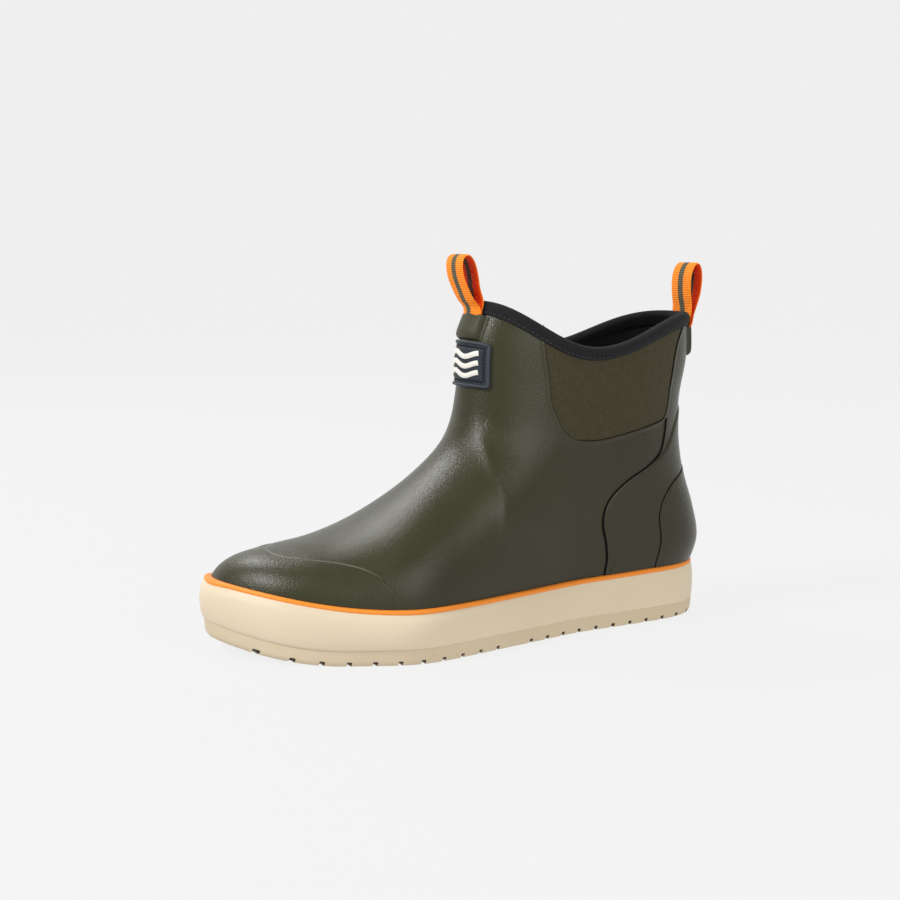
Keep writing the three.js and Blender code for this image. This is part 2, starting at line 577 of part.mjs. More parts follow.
// the moulded tab over a sewn end: a flat border, side walls and a raised middle
function tab(middle, length) {
  const half = WEB_WIDTH / 2 + FIT_GAP;
  const lift = PLIES + FIT_GAP;
  const section = [[half + TAB_BORDER, 0, 0.5], [half + 0.05, 0, lift + TAB_WALL - 0.5],
    [half, lift, TAB_WALL - 0.3], [half / 2, lift, TAB_WALL], [0, lift, TAB_WALL]];
  const columns = [...section.map(([y, ...rest]) => [-y, ...rest]), ...section.slice(0, -1).reverse()]
    .map(([y, ...rest]) => [besideMiddle(middle, y), ...rest]);
  return strap(columns, range(6).map((j) => [TAB_DROP + (length * (5 - j)) / 5, FIT_GAP]));
}
const FRONT_TAB_LENGTH = 13.5;
const REAR_TAB_LENGTH = 16;
add('front_tab', tab(0, FRONT_TAB_LENGTH), 'rubberTab');
add('front_loop_tail', sewnEnd(0, FRONT_TAB_LENGTH), 'webbing');
add('rear_tab', tab(1, REAR_TAB_LENGTH), 'rubberTab');
add('rear_loop_tail', sewnEnd(1, REAR_TAB_LENGTH), 'webbing');

// a pull loop: a closed drop of webbing that stands on the collar; line is its middle in side view, from its foot
function pullLoop(line, foot) {
  const curve = new THREE.CatmullRomCurve3(line.map(([x, z]) => new THREE.Vector3(foot.x + x, 0, foot.z + z)), true);
  const steps = 26;
  const rows = range(steps).map((i) => {
    const point = curve.getPoint(i / steps);
    const tangent = curve.getTangent(i / steps);
    const sideways = new THREE.Vector3(-tangent.z, 0, tangent.x).multiplyScalar(WEB_THICKNESS / 2);
    const edge = new THREE.Vector3(0, WEB_WIDTH / 2, 0);
    return [[1, 1], [-1, 1], [-1, -1], [1, -1]].map(([a, b]) => point.clone().addScaledVector(sideways, a)
      .addScaledVector(edge, b));
  });
  return loft(rows, true);
}
const LOOP_LIFT = 2 * FIT_GAP + WEB_THICKNESS / 2;      // a loop's foot clears the sewn ends by a gap
const loopFoot = (middle) => skin(middle, 1, overBinding + WEB_THICKNESS).add(new THREE.Vector3(0, 0, LOOP_LIFT));
const FRONT_LOOP = [[-3, 0], [-5.6, 1.2], [-7.6, 4.2], [-9.7, 9.5], [-10.5, 15.5], [-9.4, 20], [-7.2, 21.2],
  [-4.6, 19.2], [-2.5, 13], [-1.2, 6], [-0.8, 1.2]];
const REAR_LOOP = [[0.6, 0], [-1.2, 1], [-2.2, 5.5], [-2.6, 12], [-1.8, 19], [0.8, 24.6], [3.2, 25.4], [4.8, 21.5],
  [5.2, 16], [4.4, 9], [2.9, 3], [2.2, 0.8]];
add('front_loop', pullLoop(FRONT_LOOP, loopFoot(0)), 'webbing');
add('rear_loop', pullLoop(REAR_LOOP, loopFoot(1)), 'webbing');

// ---- badge ----
const badgeHigh = belowRim(0, TAB_DROP + FRONT_TAB_LENGTH + 2 * FIT_GAP);
const badgeLow = badgeHigh - BADGE_HEIGHT / riseScale(0, badgeHigh);
const badgeColumns = range(13).map((i) => BADGE_ANGLE * Math.sin(((i / 12) * 2 - 1) * Math.PI / 2));
const badgeEdge = (turn) => {
  const fromSide = (BADGE_ANGLE - Math.abs(turn)) * turnScale(0.1, badgeLow);
  return (BADGE_CORNER * (1 - roundOff(fromSide / BADGE_CORNER, 2))) / riseScale(0, badgeHigh);
};
add('badge', kept(layer(FIT_GAP + BADGE_THICKNESS, FIT_GAP), region(
  badgeColumns.map((turn) => [turn, badgeLow + badgeEdge(turn)]),
  badgeColumns.map((turn) => [turn, badgeHigh - badgeEdge(turn)]), 3)), 'badge');
const waveFoot = 2 * FIT_GAP + BADGE_THICKNESS;
const waveTurns = range(13).map((i) => lerp(-0.72, 0.72, i / 12) * BADGE_ANGLE);
for (const k of range(WAVE_COUNT)) {
  const millimetre = 1 / riseScale(0, badgeHigh);
  const centre = (badgeLow + badgeHigh) / 2 + (k - (WAVE_COUNT - 1) / 2) * 2 * WAVE_HEIGHT * millimetre;
  const line = (side) => waveTurns.map((turn) => [turn, centre
    + (side * WAVE_HEIGHT / 2 + WAVE_SWING * Math.sin((turn / BADGE_ANGLE) * 2 * Math.PI)) * millimetre]);
  add(`badge_wave_${k + 1}`, kept(layer(waveFoot + WAVE_RELIEF, waveFoot), region(line(-1), line(1), 1)), 'emblem');
}

export default boot;
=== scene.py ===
# %% [markdown]
# # A rubber deck boot
# An ankle-height sailing boot: olive rubber over a neoprene sock, woven stretch panels, a pale vulcanised
# sole and two webbing pull loops. Nearly every piece follows one shape, the last that the boot is built
# on. So the lesson is about one surface with two parameters: once it is a numpy function, a piece of the
# boot is a patch, a band or a strip of that surface, lifted a little way off it.

import json
import math

import bmesh
import bpy
import numpy as np
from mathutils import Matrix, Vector


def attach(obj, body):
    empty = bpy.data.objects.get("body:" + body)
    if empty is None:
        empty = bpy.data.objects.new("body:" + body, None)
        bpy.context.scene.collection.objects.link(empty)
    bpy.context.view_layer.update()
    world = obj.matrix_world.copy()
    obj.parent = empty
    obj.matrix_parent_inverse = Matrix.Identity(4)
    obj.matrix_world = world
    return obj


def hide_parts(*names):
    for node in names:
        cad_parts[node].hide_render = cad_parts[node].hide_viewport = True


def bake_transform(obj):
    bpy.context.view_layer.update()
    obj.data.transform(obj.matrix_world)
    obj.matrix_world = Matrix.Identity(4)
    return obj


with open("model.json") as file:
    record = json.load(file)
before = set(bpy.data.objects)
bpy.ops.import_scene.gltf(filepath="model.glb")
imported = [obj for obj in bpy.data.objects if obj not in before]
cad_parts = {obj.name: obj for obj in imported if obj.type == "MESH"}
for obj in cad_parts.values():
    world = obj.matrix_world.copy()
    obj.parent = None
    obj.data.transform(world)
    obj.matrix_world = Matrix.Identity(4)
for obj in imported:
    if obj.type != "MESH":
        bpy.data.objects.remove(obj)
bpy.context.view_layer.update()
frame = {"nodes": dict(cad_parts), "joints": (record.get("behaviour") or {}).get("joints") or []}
MM = 0.001                                  # the shapes below are worked out in millimetres

# %% [markdown]
# ## Smooth curves
# A last maker draws a few stations and lets a bent batten run through them. A Catmull-Rom spline is that
# batten: it passes through every point, so an outline needs only the few points that give it its shape.

# %% Curves and rounded ends
def smooth(low, high, x):
    """Rises from 0 to 1 between low and high, level at both ends: 3t^2 - 2t^3."""
    t = np.clip((x - low) / (high - low), 0, 1)
    return t * t * (3 - 2 * t)


def smooth_line(points, steps=24):
    """A dense Catmull-Rom curve through the points: each span is the cubic that meets its two ends with
    slopes taken from the points on either side."""
    p = np.asarray(points, float)
    p = np.vstack([2 * p[0] - p[1], p, 2 * p[-1] - p[-2]])
    u = np.linspace(0, 1, steps, endpoint=False)[None, :, None]
    a, b, c, d = (p[k:len(p) - 3 + k, None] for k in range(4))
    bent, twisted = 2 * a - 5 * b + 4 * c - d, 3 * b - a - 3 * c + d
    spans = 0.5 * (2 * b + (c - a) * u + bent * u ** 2 + twisted * u ** 3)
    return np.vstack([spans.reshape(-1, p.shape[1]), p[-2]])


def length_along(line):
    """The distance from the line's start to each of its points."""
    return np.append(0, np.cumsum(np.linalg.norm(np.diff(line, axis=0), axis=1)))


def by_length(line, share):
    """The line's columns at a share of its length, from 0 to 1."""
    along = length_along(line)
    return [np.interp(share, along / along[-1], column) for column in line.T]


def evenly(line, count):
    """The line as that many points, evenly spaced along it."""
    return np.stack(by_length(line, np.linspace(0, 1, count)), -1)


def round_off(q, power):
    """A quarter of a rounded square: 0 at q = 0, 1 from q = 1, as (1 - (1 - q)^power)^(1/power)."""
    return (1 - (1 - np.clip(q, 0, 1)) ** power) ** (1 / power)


# %% [markdown]
# ## The last
# Four outlines say everything: the boot's front and back in side view, and the foot's half width and
# middle line seen from above. Between them the section is a rounded arch over the foot and an oval up the
# shaft, and one smooth step blends the two. They follow the CAD model, except that the front of the shaft
# leans back up to 2.4 mm more from the badge upwards.

# %% The outlines, in millimetres
FEATHER = 30                                # height of the last's lower edge
COLLAR_HALF_WIDTH = 30.1
TOE_ROUND, HEEL_ROUND = 52, 40              # lengths over which the ends of the foot round in
FRONT_ROUND, BACK_ROUND = (60, 51.5), 63.2  # and those of the shaft, at its foot and at the collar
COLLAR_DIP = 22.2                           # how far the collar dips at the side
OUTSOLE_THICKNESS, MIDSOLE_THICKNESS, TOE_SPRING, GAP = 8.5, 6, 8.4, 0.3
SKIRT_FOOT = OUTSOLE_THICKNESS + MIDSOLE_THICKNESS + 2 * GAP
FRONT = smooth_line([(-144.3, 34.7), (-139.5, 44), (-128.5, 51.3), (-109.5, 55.4), (-85.5, 59.9),
                     (-59.5, 70.5), (-26.6, 91), (-8.2, 110), (-3.2, 134), (-1.2, 160), (8.6, 183.7)])
BACK = smooth_line([(143.7, 28), (149.7, 44), (146.3, 62), (139.8, 82), (136.3, 104), (137.8, 126),
                    (143.2, 150), (143.1, 175.2)])
HALF_WIDTHS = smooth_line([(-141.5, 36.5), (-115.5, 42.2), (-87.5, 49), (-59.5, 54.2), (-27.5, 50.2),
                           (7.5, 43.1), (42.5, 37.9), (82.5, 36.1), (112.5, 34.2), (142.5, 35.9)])
MIDDLE_LINE = smooth_line([(-141.5, 12.2), (-122.5, 5.5), (-97.5, 2), (-57.5, -5.3), (-17.5, -4.7),
                           (22.5, -3), (62.5, 0.6), (142.5, 2.2)])
NECK = smooth_line([(30, 1), (60, 0.98), (90, 0.96), (120, 0.97), (150, 1), (190, 1.03)])
STRIPE_LINE = smooth_line([(-142.5, 38.7), (-87.5, 28.7), (-27.5, 27.4), (32.5, 28.2), (92.5, 29.3),
                           (142.5, 30.2)])


# %% The surface
def spring(x):
    """How far the ground face lifts ahead of the ball: a parabola in x."""
    return TOE_SPRING * np.clip((-x - 92.5) / 51.5, 0, 1.1) ** 2


def half_width(x, z):
    """Half the boot's width at a place in side view: the foot's width under a rounded arch, or the
    collar's under an oval whose ends are the front and back outlines, blended along a slanting line over
    the instep."""
    foot = np.interp(x, *HALF_WIDTHS.T)
    toe = round_off((x - FRONT[0, 0]) / TOE_ROUND, 2.2)
    roof = np.interp(x, np.maximum.accumulate(FRONT[:, 0]), FRONT[:, 1])
    level = np.clip((z - FEATHER) / np.maximum(roof - FEATHER, 1e-6), 0, 1)
    arch = (1 - level ** 2.3) ** (1 / 2.1)
    shaft = smooth(60, 190, z)
    side = foot * (1 - shaft) * np.interp(z, *NECK.T) + COLLAR_HALF_WIDTH * shaft
    front_length = FRONT_ROUND[0] + (FRONT_ROUND[1] - FRONT_ROUND[0]) * shaft
    front_end = round_off((x - np.interp(z, FRONT[:, 1], FRONT[:, 0])) / front_length, 2)
    back_length = HEEL_ROUND + (BACK_ROUND - HEEL_ROUND) * shaft
    back_end = round_off((np.interp(z, BACK[:, 1], BACK[:, 0]) - x) / back_length, 2.1)
    is_shaft = smooth(-38, 38, x + 15.5 + (z - 95) * 0.55)
    return side * back_end * ((1 - is_shaft) * toe * arch + is_shaft * front_end)


def surface(turn, rise):
    """The last. turn goes round it: 0 at the middle of the front, -1 and 1 at the middle of the back,
    negative on the outer side. rise is 0 at the lower edge and 1 at the collar; below 0 the wall drops
    straight to its foot."""
    turn, rise = np.broadcast_arrays(np.asarray(turn, float), np.asarray(rise, float))
    turn = turn - 2 * np.round(turn / 2)
    t = np.clip(rise, 0, 1)
    along = (1 - np.cos(np.pi * np.abs(turn))) / 2
    (front_x, front_z), (back_x, back_z) = by_length(FRONT, t), by_length(BACK, t)
    dip = COLLAR_DIP * np.maximum(np.sin(np.pi * np.maximum(along, 1e-9) ** 0.8), 1e-9) ** 1.9
    x = front_x + (back_x - front_x) * along
    z = front_z + (back_z - front_z) * along - dip * smooth(0.45, 1, t) ** 1.2
    y = np.interp(x, *MIDDLE_LINE.T) * (1 - smooth(60, 120, z)) + np.sign(turn) * half_width(x, z)
    z = np.where(rise < 0, z + (SKIRT_FOOT + spring(x) - z) * np.clip(-rise, 0, 1), z)
    return np.stack([x, y, z], -1)


def skin(turn, rise, offset):
    """The surface moved outwards by offset: the normal is the cross product of two short steps along the
    surface. Towards the lower edge it turns level, so that the sole's pieces stand upright."""
    turn, rise, offset = np.broadcast_arrays(*(np.asarray(v, float) for v in (turn, rise, offset)))
    step = 0.004
    low = np.minimum(rise, 1 - step)
    across = surface(turn + step, low) - surface(turn - step, low)
    up = surface(turn, low + step) - surface(turn, low - step)
    normal = np.cross(up, across)
    normal[..., 2] *= smooth(0, 0.06, rise)
    normal /= np.maximum(np.linalg.norm(normal, axis=-1, keepdims=True), 1e-12)
    return surface(turn, rise) + normal * offset[..., None]


def rise_scale(turn, rise):
    """Millimetres along the surface for one unit of rise."""
    high = np.minimum(rise + 0.02, 1)
    return np.linalg.norm(surface(turn, high) - surface(turn, rise - 0.02), axis=-1) / (high - rise + 0.02)


def turn_scale(turn, rise):
    """Millimetres along the surface for one unit of turn."""
    return np.linalg.norm(surface(turn + 0.01, rise) - surface(turn - 0.01, rise), axis=-1) / 0.02


def below_rim(turn, depth):
    """The rise that lies depth millimetres below the collar's edge."""
    return 1 - depth / rise_scale(turn, np.ones_like(turn))


def shifted(line, distance):
    """A line of (turn, rise) moved sideways on the surface, to its left, by a distance in millimetres."""
    ahead, behind = np.vstack([line[1:], line[-1:]]), np.vstack([line[:1], line[:-1]])
    scale = np.stack([turn_scale(*line.T), rise_scale(*line.T)], -1)
    heading = (ahead - behind) * scale
    heading /= np.linalg.norm(heading, axis=1, keepdims=True)
    return line + np.stack([-heading[:, 1], heading[:, 0]], -1) * distance / scale


def rise_at(turn, height_of):
    """The rise at which the surface reaches a height, found by halving the interval 17 times for all
    turns."""
    low, high = np.full(len(turn), -1.0), np.full(len(turn), 1.0)
    for _ in range(17):
        middle = (low + high) / 2
        p = surface(turn, middle)
        is_below = p[:, 2] < height_of(p[:, 0])
        low, high = np.where(is_below, middle, low), np.where(is_below, high, middle)
    return low


print("surface: collar front at", np.round(surface(0, 1), 1), "mm")

# %% [markdown]
# ## From arrays to closed meshes
# Every piece is a row of sections, and each section is a ring of points. Joining ring to ring with quads
# gives a tube. If the row of rings closes on itself it is a band, and if it doesn't, the two end rings
# are filled. Doubles are merged where rings meet in a point, and the faces are turned to point out.

# %% Mesh makers
def ring_faces(rows, columns, closed):
    """Quads joining point (i, j) to its neighbours, for points stored ring by ring; the rings are closed,
    and so is the row of rings when closed is true."""
    i, j = np.meshgrid(np.arange(rows if closed else rows - 1), np.arange(columns), indexing="ij")
    here, there = i * columns, (i + 1) % rows * columns
    after = (j + 1) % columns
    return np.stack([here + j, there + j, there + after, here + after], -1).reshape(-1, 4)


def piece(name, rings, finish, closed=False, body="boot", replaces=(), marks=None, creases=40):
    """Makes the closed mesh of an array of rings (rows, points, 3), gives it its finish, and lets it
    ride. marks are named numbers, one per point, for the finish to read. creases is the angle from which
    an edge shades sharp."""
    rings = np.asarray(rings, float)
    rows, columns = rings.shape[:2]
    faces = ring_faces(rows, columns, closed).tolist()
    if not closed:
        faces += [list(range(columns)), list(range((rows - 1) * columns, rows * columns))[::-1]]
    return mesh_piece(name, rings.reshape(-1, 3), faces, finish, body, replaces, marks, creases)


def mesh_piece(name, points, faces, finish, body="boot", replaces=(), marks=None, creases=40):
    """Makes a closed mesh of points in millimetres and faces: doubles merged, every face turned to point
    out."""
    mesh = bpy.data.meshes.new(name)
    mesh.from_pydata(points * MM, [], faces)
    for mark, values in (marks or {}).items():
        layer = mesh.attributes.new(mark, "FLOAT", "POINT")
        layer.data.foreach_set("value", np.asarray(values, np.float32).ravel())
    work = bmesh.new()
    work.from_mesh(mesh)
    bmesh.ops.remove_doubles(work, verts=work.verts, dist=2e-6)
    bmesh.ops.dissolve_degenerate(work, edges=work.edges, dist=1e-6)
    bmesh.ops.recalc_face_normals(work, faces=work.faces)
    work.to_mesh(mesh)
    work.free()
    mesh.shade_smooth()
    mesh.set_sharp_from_angle(angle=math.radians(creases))
    made = bpy.data.objects.new(name, mesh)
    bpy.context.collection.objects.link(made)
    mesh.materials.append(finish)
    if body:
        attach(made, body)
    if replaces:
        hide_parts(*replaces)
    print(f"{name}: {len(mesh.polygons)} faces")
    return made


def wall(turns, outer, inner):
    """Rings of an upright wall: outer and inner are lists of (rise, offset) arrays that go up the two
    sides."""
    up = [skin(turns, rise, offset) for rise, offset in outer]
    down = [skin(turns, rise, offset) for rise, offset in inner][::-1]
    return np.stack(up + down, 1)


def strip(line, profile, side=1):
    """Rings of a strip that follows a line of (turn, rise): each point of the profile is (distance to the
    line's left, offset from the surface), both in millimetres. side -1 mirrors it to the outer side of
    the boot."""
    rings = []
    for distance, offset in profile:
        moved = shifted(line, distance)
        rings.append(skin(side * moved[:, 0], moved[:, 1], offset))
    return np.stack(rings, 1)


def patch(edge, far, edge_profile, lift, under, steps, side=1):
    """Rings of a patch with one worked edge: from the edge line, inwards by each (distance, offset) of
    the profile, then evenly to the far line at the lift, and back along the underside. Both lines are
    (turn, rise)."""
    grid = [(shifted(edge, distance), offset) for distance, offset in edge_profile]
    start = grid[-1][0]
    grid += [(start + (far - start) * k / steps, lift) for k in range(1, steps + 1)]
    grid += [(grid[-1 - k][0], under) for k in range(0, len(grid), 2)]
    return np.stack([skin(side * line[:, 0], line[:, 1], offset) for line, offset in grid], 1)


# %% [markdown]
# ## Shader maths as ordinary Python
# A finish is worked out with numbers that change over the surface. Wrapping a node's output in a small
# class with its operators overloaded lets those sums be written as sums, and each operator adds its Math
# node.

# %% A socket that can be added and multiplied
class Number:
    """A value that changes over the surface: the output of a node. Each operator adds one Math node."""

    def __init__(self, finish, socket):
        self.finish, self.socket = finish, socket

    def with_maths(self, operation, *others):
        """Adds the Math node of that operation, fed by this value and then the others."""
        return self.finish.node("ShaderNodeMath", {"operation": operation}, dict(enumerate((self, *others))))

    def __add__(self, other):
        return self.with_maths("ADD", other)

    def __sub__(self, other):
        return self.with_maths("SUBTRACT", other)

    def __rsub__(self, other):
        return self * -1 + other

    def __mul__(self, other):
        return self.with_maths("MULTIPLY", other)

    __radd__ = __add__
    __rmul__ = __mul__

    def sine(self):
        return self.with_maths("SINE")

    def size(self):
        """The value without its sign."""
        return self.with_maths("ABSOLUTE")

    def between(self, low, high):
        """0 below low, 1 above high, smooth between them."""
        return self.finish.node("ShaderNodeMapRange", {"interpolation_type": "SMOOTHSTEP"},
                                {"Value": self, "From Min": low, "From Max": high})


class Finish:
    """One material: a Principled shader, and the nodes that feed it."""

    def __init__(self, name, **constants):
        self.material = bpy.data.materials.new(name)
        self.material.use_nodes = True
        self.tree = self.material.node_tree
        self.shader = self.tree.nodes["Principled BSDF"]
        for socket, value in constants.items():
            self.set(**{socket: value})

    def plug(self, target, value):
        """Gives a socket a link, a colour or a plain number, whichever the value is."""
        if isinstance(value, Number):
            self.tree.links.new(value.socket, target)
        elif hasattr(value, "__len__") and len(value) == 3 and target.type == "RGBA":
            target.default_value = (*value, 1)
        else:
            target.default_value = value

    def node(self, kind, settings=None, values=None, output=0):
        """Adds any node: its settings first, then its sockets' values or links."""
        made = self.tree.nodes.new(kind)
        for key, value in (settings or {}).items():
            setattr(made, key, value)
        for key, value in (values or {}).items():
            self.plug(made.inputs[key], value)
        return Number(self, made.outputs[output])

    def set(self, **sockets):
        """Plugs values into the shader's own sockets; an underscore stands for the space in a socket's
        name."""
        for name, value in sockets.items():
            self.plug(self.shader.inputs[name.replace("_", " ")], value)

    def place(self):
        """Object coordinates, in metres."""
        return self.node("ShaderNodeTexCoord", output="Object")

    def noise(self, scale, detail=2):
        """Soft cloudy noise from 0 to 1, with that many cells to a metre."""
        values = {"Vector": self.place(), "Scale": scale, "Detail": detail}
        return self.node("ShaderNodeTexNoise", {}, values)

    def mark(self, name):
        """A number stored on the mesh's points."""
        return self.node("ShaderNodeAttribute", {"attribute_name": name}, output="Fac")

    def mix(self, share, first, second):
        """From the first colour at share 0 to the second at share 1."""
        return self.node("ShaderNodeMix", {"data_type": "RGBA"}, {0: share, 6: first, 7: second}, 2)

    def bump(self, height, distance, strength=1.0):
        """Shades the surface as if it rose by height times distance, in metres."""
        values = {"Strength": strength, "Distance": distance, "Height": height}
        self.set(Normal=self.node("ShaderNodeBump", {}, values))


# %% [markdown]
# ## Olive rubber
# A dipped and pressed rubber sheet. Close up it has a fine pebble grain, and it shines in a broad soft
# way. Its colour drifts a little from warm to green, with a few faint paler flecks.

# %% Rubber finishes
POLISH = 0.06                               # how far the roughness drifts


def rubber(name, colour, drift, grain, roughness, size=620, fleck=0.0, shine=0.5):
    """Moulded rubber: a slow noise drifts the colour, and a fine cell pattern and a finer noise make the
    grain."""
    f = Finish(name, Specular_IOR_Level=shine)
    slow = f.noise(9, 3).between(0.3, 0.7)
    tone = f.mix(slow, colour, drift)
    if fleck:
        paler = tuple(min(1, 2.2 * c) for c in drift)
        tone = f.mix(f.noise(140, 4).between(0.62, 0.85) * fleck, tone, paler)
    cells = f.node("ShaderNodeTexVoronoi", {"feature": "SMOOTH_F1"},
                   {"Vector": f.place(), "Scale": size, "Smoothness": 0.6, "Randomness": 1.0})
    fine = f.noise(size * 2.4, 2)
    f.set(Base_Color=tone, Roughness=roughness + POLISH * f.noise(60, 3) - POLISH / 2 + 0.10 * cells)
    f.bump(cells * -0.7 + fine * 0.5, grain, 0.6)
    return f.material


olive = rubber("olive_rubber", (0.033, 0.033, 0.012), (0.028, 0.024, 0.011), 0.00028, 0.26, size=1200,
               fleck=0.08, shine=0.33)
olive_tab = rubber("tab_rubber", (0.038, 0.036, 0.016), (0.033, 0.030, 0.015), 0.00018, 0.46, size=1150,
                   shine=0.3)
# The toe cap's ridge: a paler rubber than the olive, a painted highlight on the raised bead.
ridge_highlight = rubber("ridge_painted_highlight", (0.085, 0.085, 0.055), (0.075, 0.075, 0.050), 0.00010, 0.36)
sidewall = rubber("sidewall_rubber", (0.67, 0.565, 0.41), (0.63, 0.525, 0.37), 0.00010, 0.46, size=900,
                  shine=0.35)
stripe = rubber("stripe_rubber", (0.84, 0.27, 0.030), (0.78, 0.23, 0.022), 0.00006, 0.42, size=900,
                shine=0.3)
# The seam beads: near-black, partly cement and partly painted shade in joints and grooves.
cement_and_shade = rubber("cement_and_shade_rubber", (0.003, 0.003, 0.002), (0.004, 0.004, 0.003), 0.00010, 0.8, shine=0.1)
badge_rubber = rubber("badge_rubber", (0.017, 0.023, 0.031), (0.020, 0.027, 0.037), 0.00012, 0.5, size=900,
                      shine=0.3)
rim_rubber = rubber("badge_rim_rubber", (0.027, 0.035, 0.046), (0.024, 0.031, 0.041), 0.00012, 0.5, size=900,
                    shine=0.4)
emblem = rubber("emblem_rubber", (0.74, 0.71, 0.65), (0.68, 0.65, 0.59), 0.00008, 0.5, size=900)


def tread_rubber():
    """The sidewall's rubber, a little darker, with painted shade in the sipes: the groove mark is their
    depth.
    """
    f = Finish("tread_rubber", Specular_IOR_Level=0.3)
    pale = f.mix(f.noise(12, 3).between(0.3, 0.7), (0.60, 0.495, 0.345), (0.56, 0.455, 0.305))
    worn = f.mix(f.noise(260, 4).between(0.55, 0.8) * 0.25, pale, (0.40, 0.31, 0.20))
    # Painted shade: the sipes turn near-black with their depth.
    inside = f.mark("groove").between(0.1, 0.8)
    f.set(Base_Color=f.mix(inside, worn, (0.035, 0.022, 0.012)), Roughness=0.5 + 0.15 * f.noise(300, 3))
    f.bump(f.noise(1600, 2), 0.00012, 0.6)
    return f.material


tread = tread_rubber()

# %% [markdown]
# ## The rubber upper
# One shell from the sole to the collar, 1.8 mm thick. Its outside carries a faint fold on each side that
# runs from the instep down to the middle of the foot. A fold is a bump in the offset: it depends on the
# distance from a line, and fades out at the line's ends.

# %% The upper
RUBBER, LINING, BINDING_HEIGHT, BINDING_WALL = 1.8, 3.5, 9, 1.2
LINING_OUT, LINING_IN = -RUBBER - GAP, -RUBBER - GAP - LINING
BIND_OUT = GAP + BINDING_WALL
BIND_IN = LINING_IN - BIND_OUT
FOLD_LINE = smooth_line([(0.247, 0.56), (0.341, 0.458), (0.426, 0.31), (0.489, 0.17), (0.529, 0.083),
                         (0.547, 0.0)])
FOLD_HEIGHT, FOLD_WIDTH = 0.06, 2.4


def fold(turn, rise):
    """Height of the folds at each point: a bell across the nearest stretch of the fold line, faded at
    both ends."""
    total = 0
    points = surface(turn, rise).reshape(-1, 3)
    for side in (-1, 1):
        line = evenly(FOLD_LINE, 60)
        track = surface(side * line[:, 0], line[:, 1])
        apart = np.linalg.norm(points[:, None] - track[None], axis=-1)
        share = apart.argmin(1) / (len(track) - 1)
        fade = smooth(0, 0.25, share) * smooth(1.0, 0.8, share)
        total = total + FOLD_HEIGHT * fade * np.exp(-(apart.min(1) / FOLD_WIDTH) ** 2)
    return total.reshape(np.shape(turn))


turns = np.arange(400) / 200 - 1
rises = np.concatenate([[-0.9, -0.4], np.linspace(0, 1, 118)])
top = below_rim(turns, 2.0)
grid_turn, grid_rise = np.meshgrid(turns, rises, indexing="ij")
grid_rise = np.where(grid_rise > 0, grid_rise * top[:, None], grid_rise)
outside = skin(grid_turn, grid_rise, fold(grid_turn, grid_rise))
inside = skin(grid_turn[:, ::-13], grid_rise[:, ::-13], -RUBBER)
piece("rubber_upper", np.concatenate([outside, inside], 1), olive, closed=True, replaces=["upper_shell"])

# %% [markdown]
# ## Laid-on rubber
# The toe cap, the heel counter and the heel patch are thinner sheets pressed onto the upper before it is
# cured. Each is a patch of the same surface with a rounded edge, lifted off it, and its lower edge hides
# in the sidewall. A near-black bead, partly cement and partly painted shade in the joint, runs along the
# counter's and the heel patch's edges, and the ridge along the toe cap's is paler: a painted highlight.

# %% Patches, edges and seams
BELOW_STRIPE = 2.2                          # the sheets end this far below the stripe's middle
EDGE_POINTS, SEAM_POINTS = 260, 140


def over_stripe(turn):
    """The rise, for each turn, of the line that far below the stripe's middle."""
    return rise_at(turn, lambda x: np.interp(x, *STRIPE_LINE.T) - BELOW_STRIPE)


def round_the_back(half):
    """A line on the inner side carried on round the heel to the same place on the outer side."""
    half = np.array(half)
    return np.vstack([half, (half * (-1, 1) + (2, 0))[-2::-1]])


def rounded_edge(lift, width):
    """A quarter round from just under the surface up to the lift, over that width."""
    angles = np.linspace(0, np.pi / 2, 6)
    return [(0, -0.4)] + [(width * (1 - np.cos(a)), lift * np.sin(a)) for a in angles]


def overlay(name, line, lift, node, steps, edge_width):
    """A sheet from its worked edge, the line, down to a foot hidden behind the sidewall. Returns that
    edge."""
    edge = evenly(smooth_line(line), EDGE_POINTS)
    foot_turn = np.linspace(edge[0, 0], edge[-1, 0], EDGE_POINTS)
    edge[:, 1] = np.maximum(edge[:, 1], over_stripe(edge[:, 0]))
    foot = np.stack([foot_turn, over_stripe(foot_turn)], -1)
    inwards = -1 if edge[0, 0] < edge[-1, 0] else 1
    profile = [(inwards * d, o) for d, o in rounded_edge(lift, edge_width)]
    piece(name, patch(edge, foot, profile, lift, -0.5, steps), olive, replaces=[node])
    return edge


def seam_along(name, line, width, lift, finish=cement_and_shade, sides=(1,)):
    """A bead, a flattened half round: by default near-black, partly cement and partly painted shade; width
    is one number or one for each point of the line.
    """
    angles = np.linspace(0, np.pi, 7)
    profile = [(-np.cos(a), np.sin(a)) for a in angles] + [(1, -1), (-1, -1)]
    for side in sides:
        rings = []
        for across, up in profile:
            moved = shifted(line, 1.0) - line
            moved = line + moved * (across * np.broadcast_to(width, len(line)) / 2)[:, None]
            rings.append(skin(side * moved[:, 0], moved[:, 1], lift + up * 0.35))
        suffix = {1: "medial", -1: "lateral"}[side] if len(sides) > 1 else ""
        piece("_".join(filter(None, [name, suffix])), np.stack(rings, 1), finish)


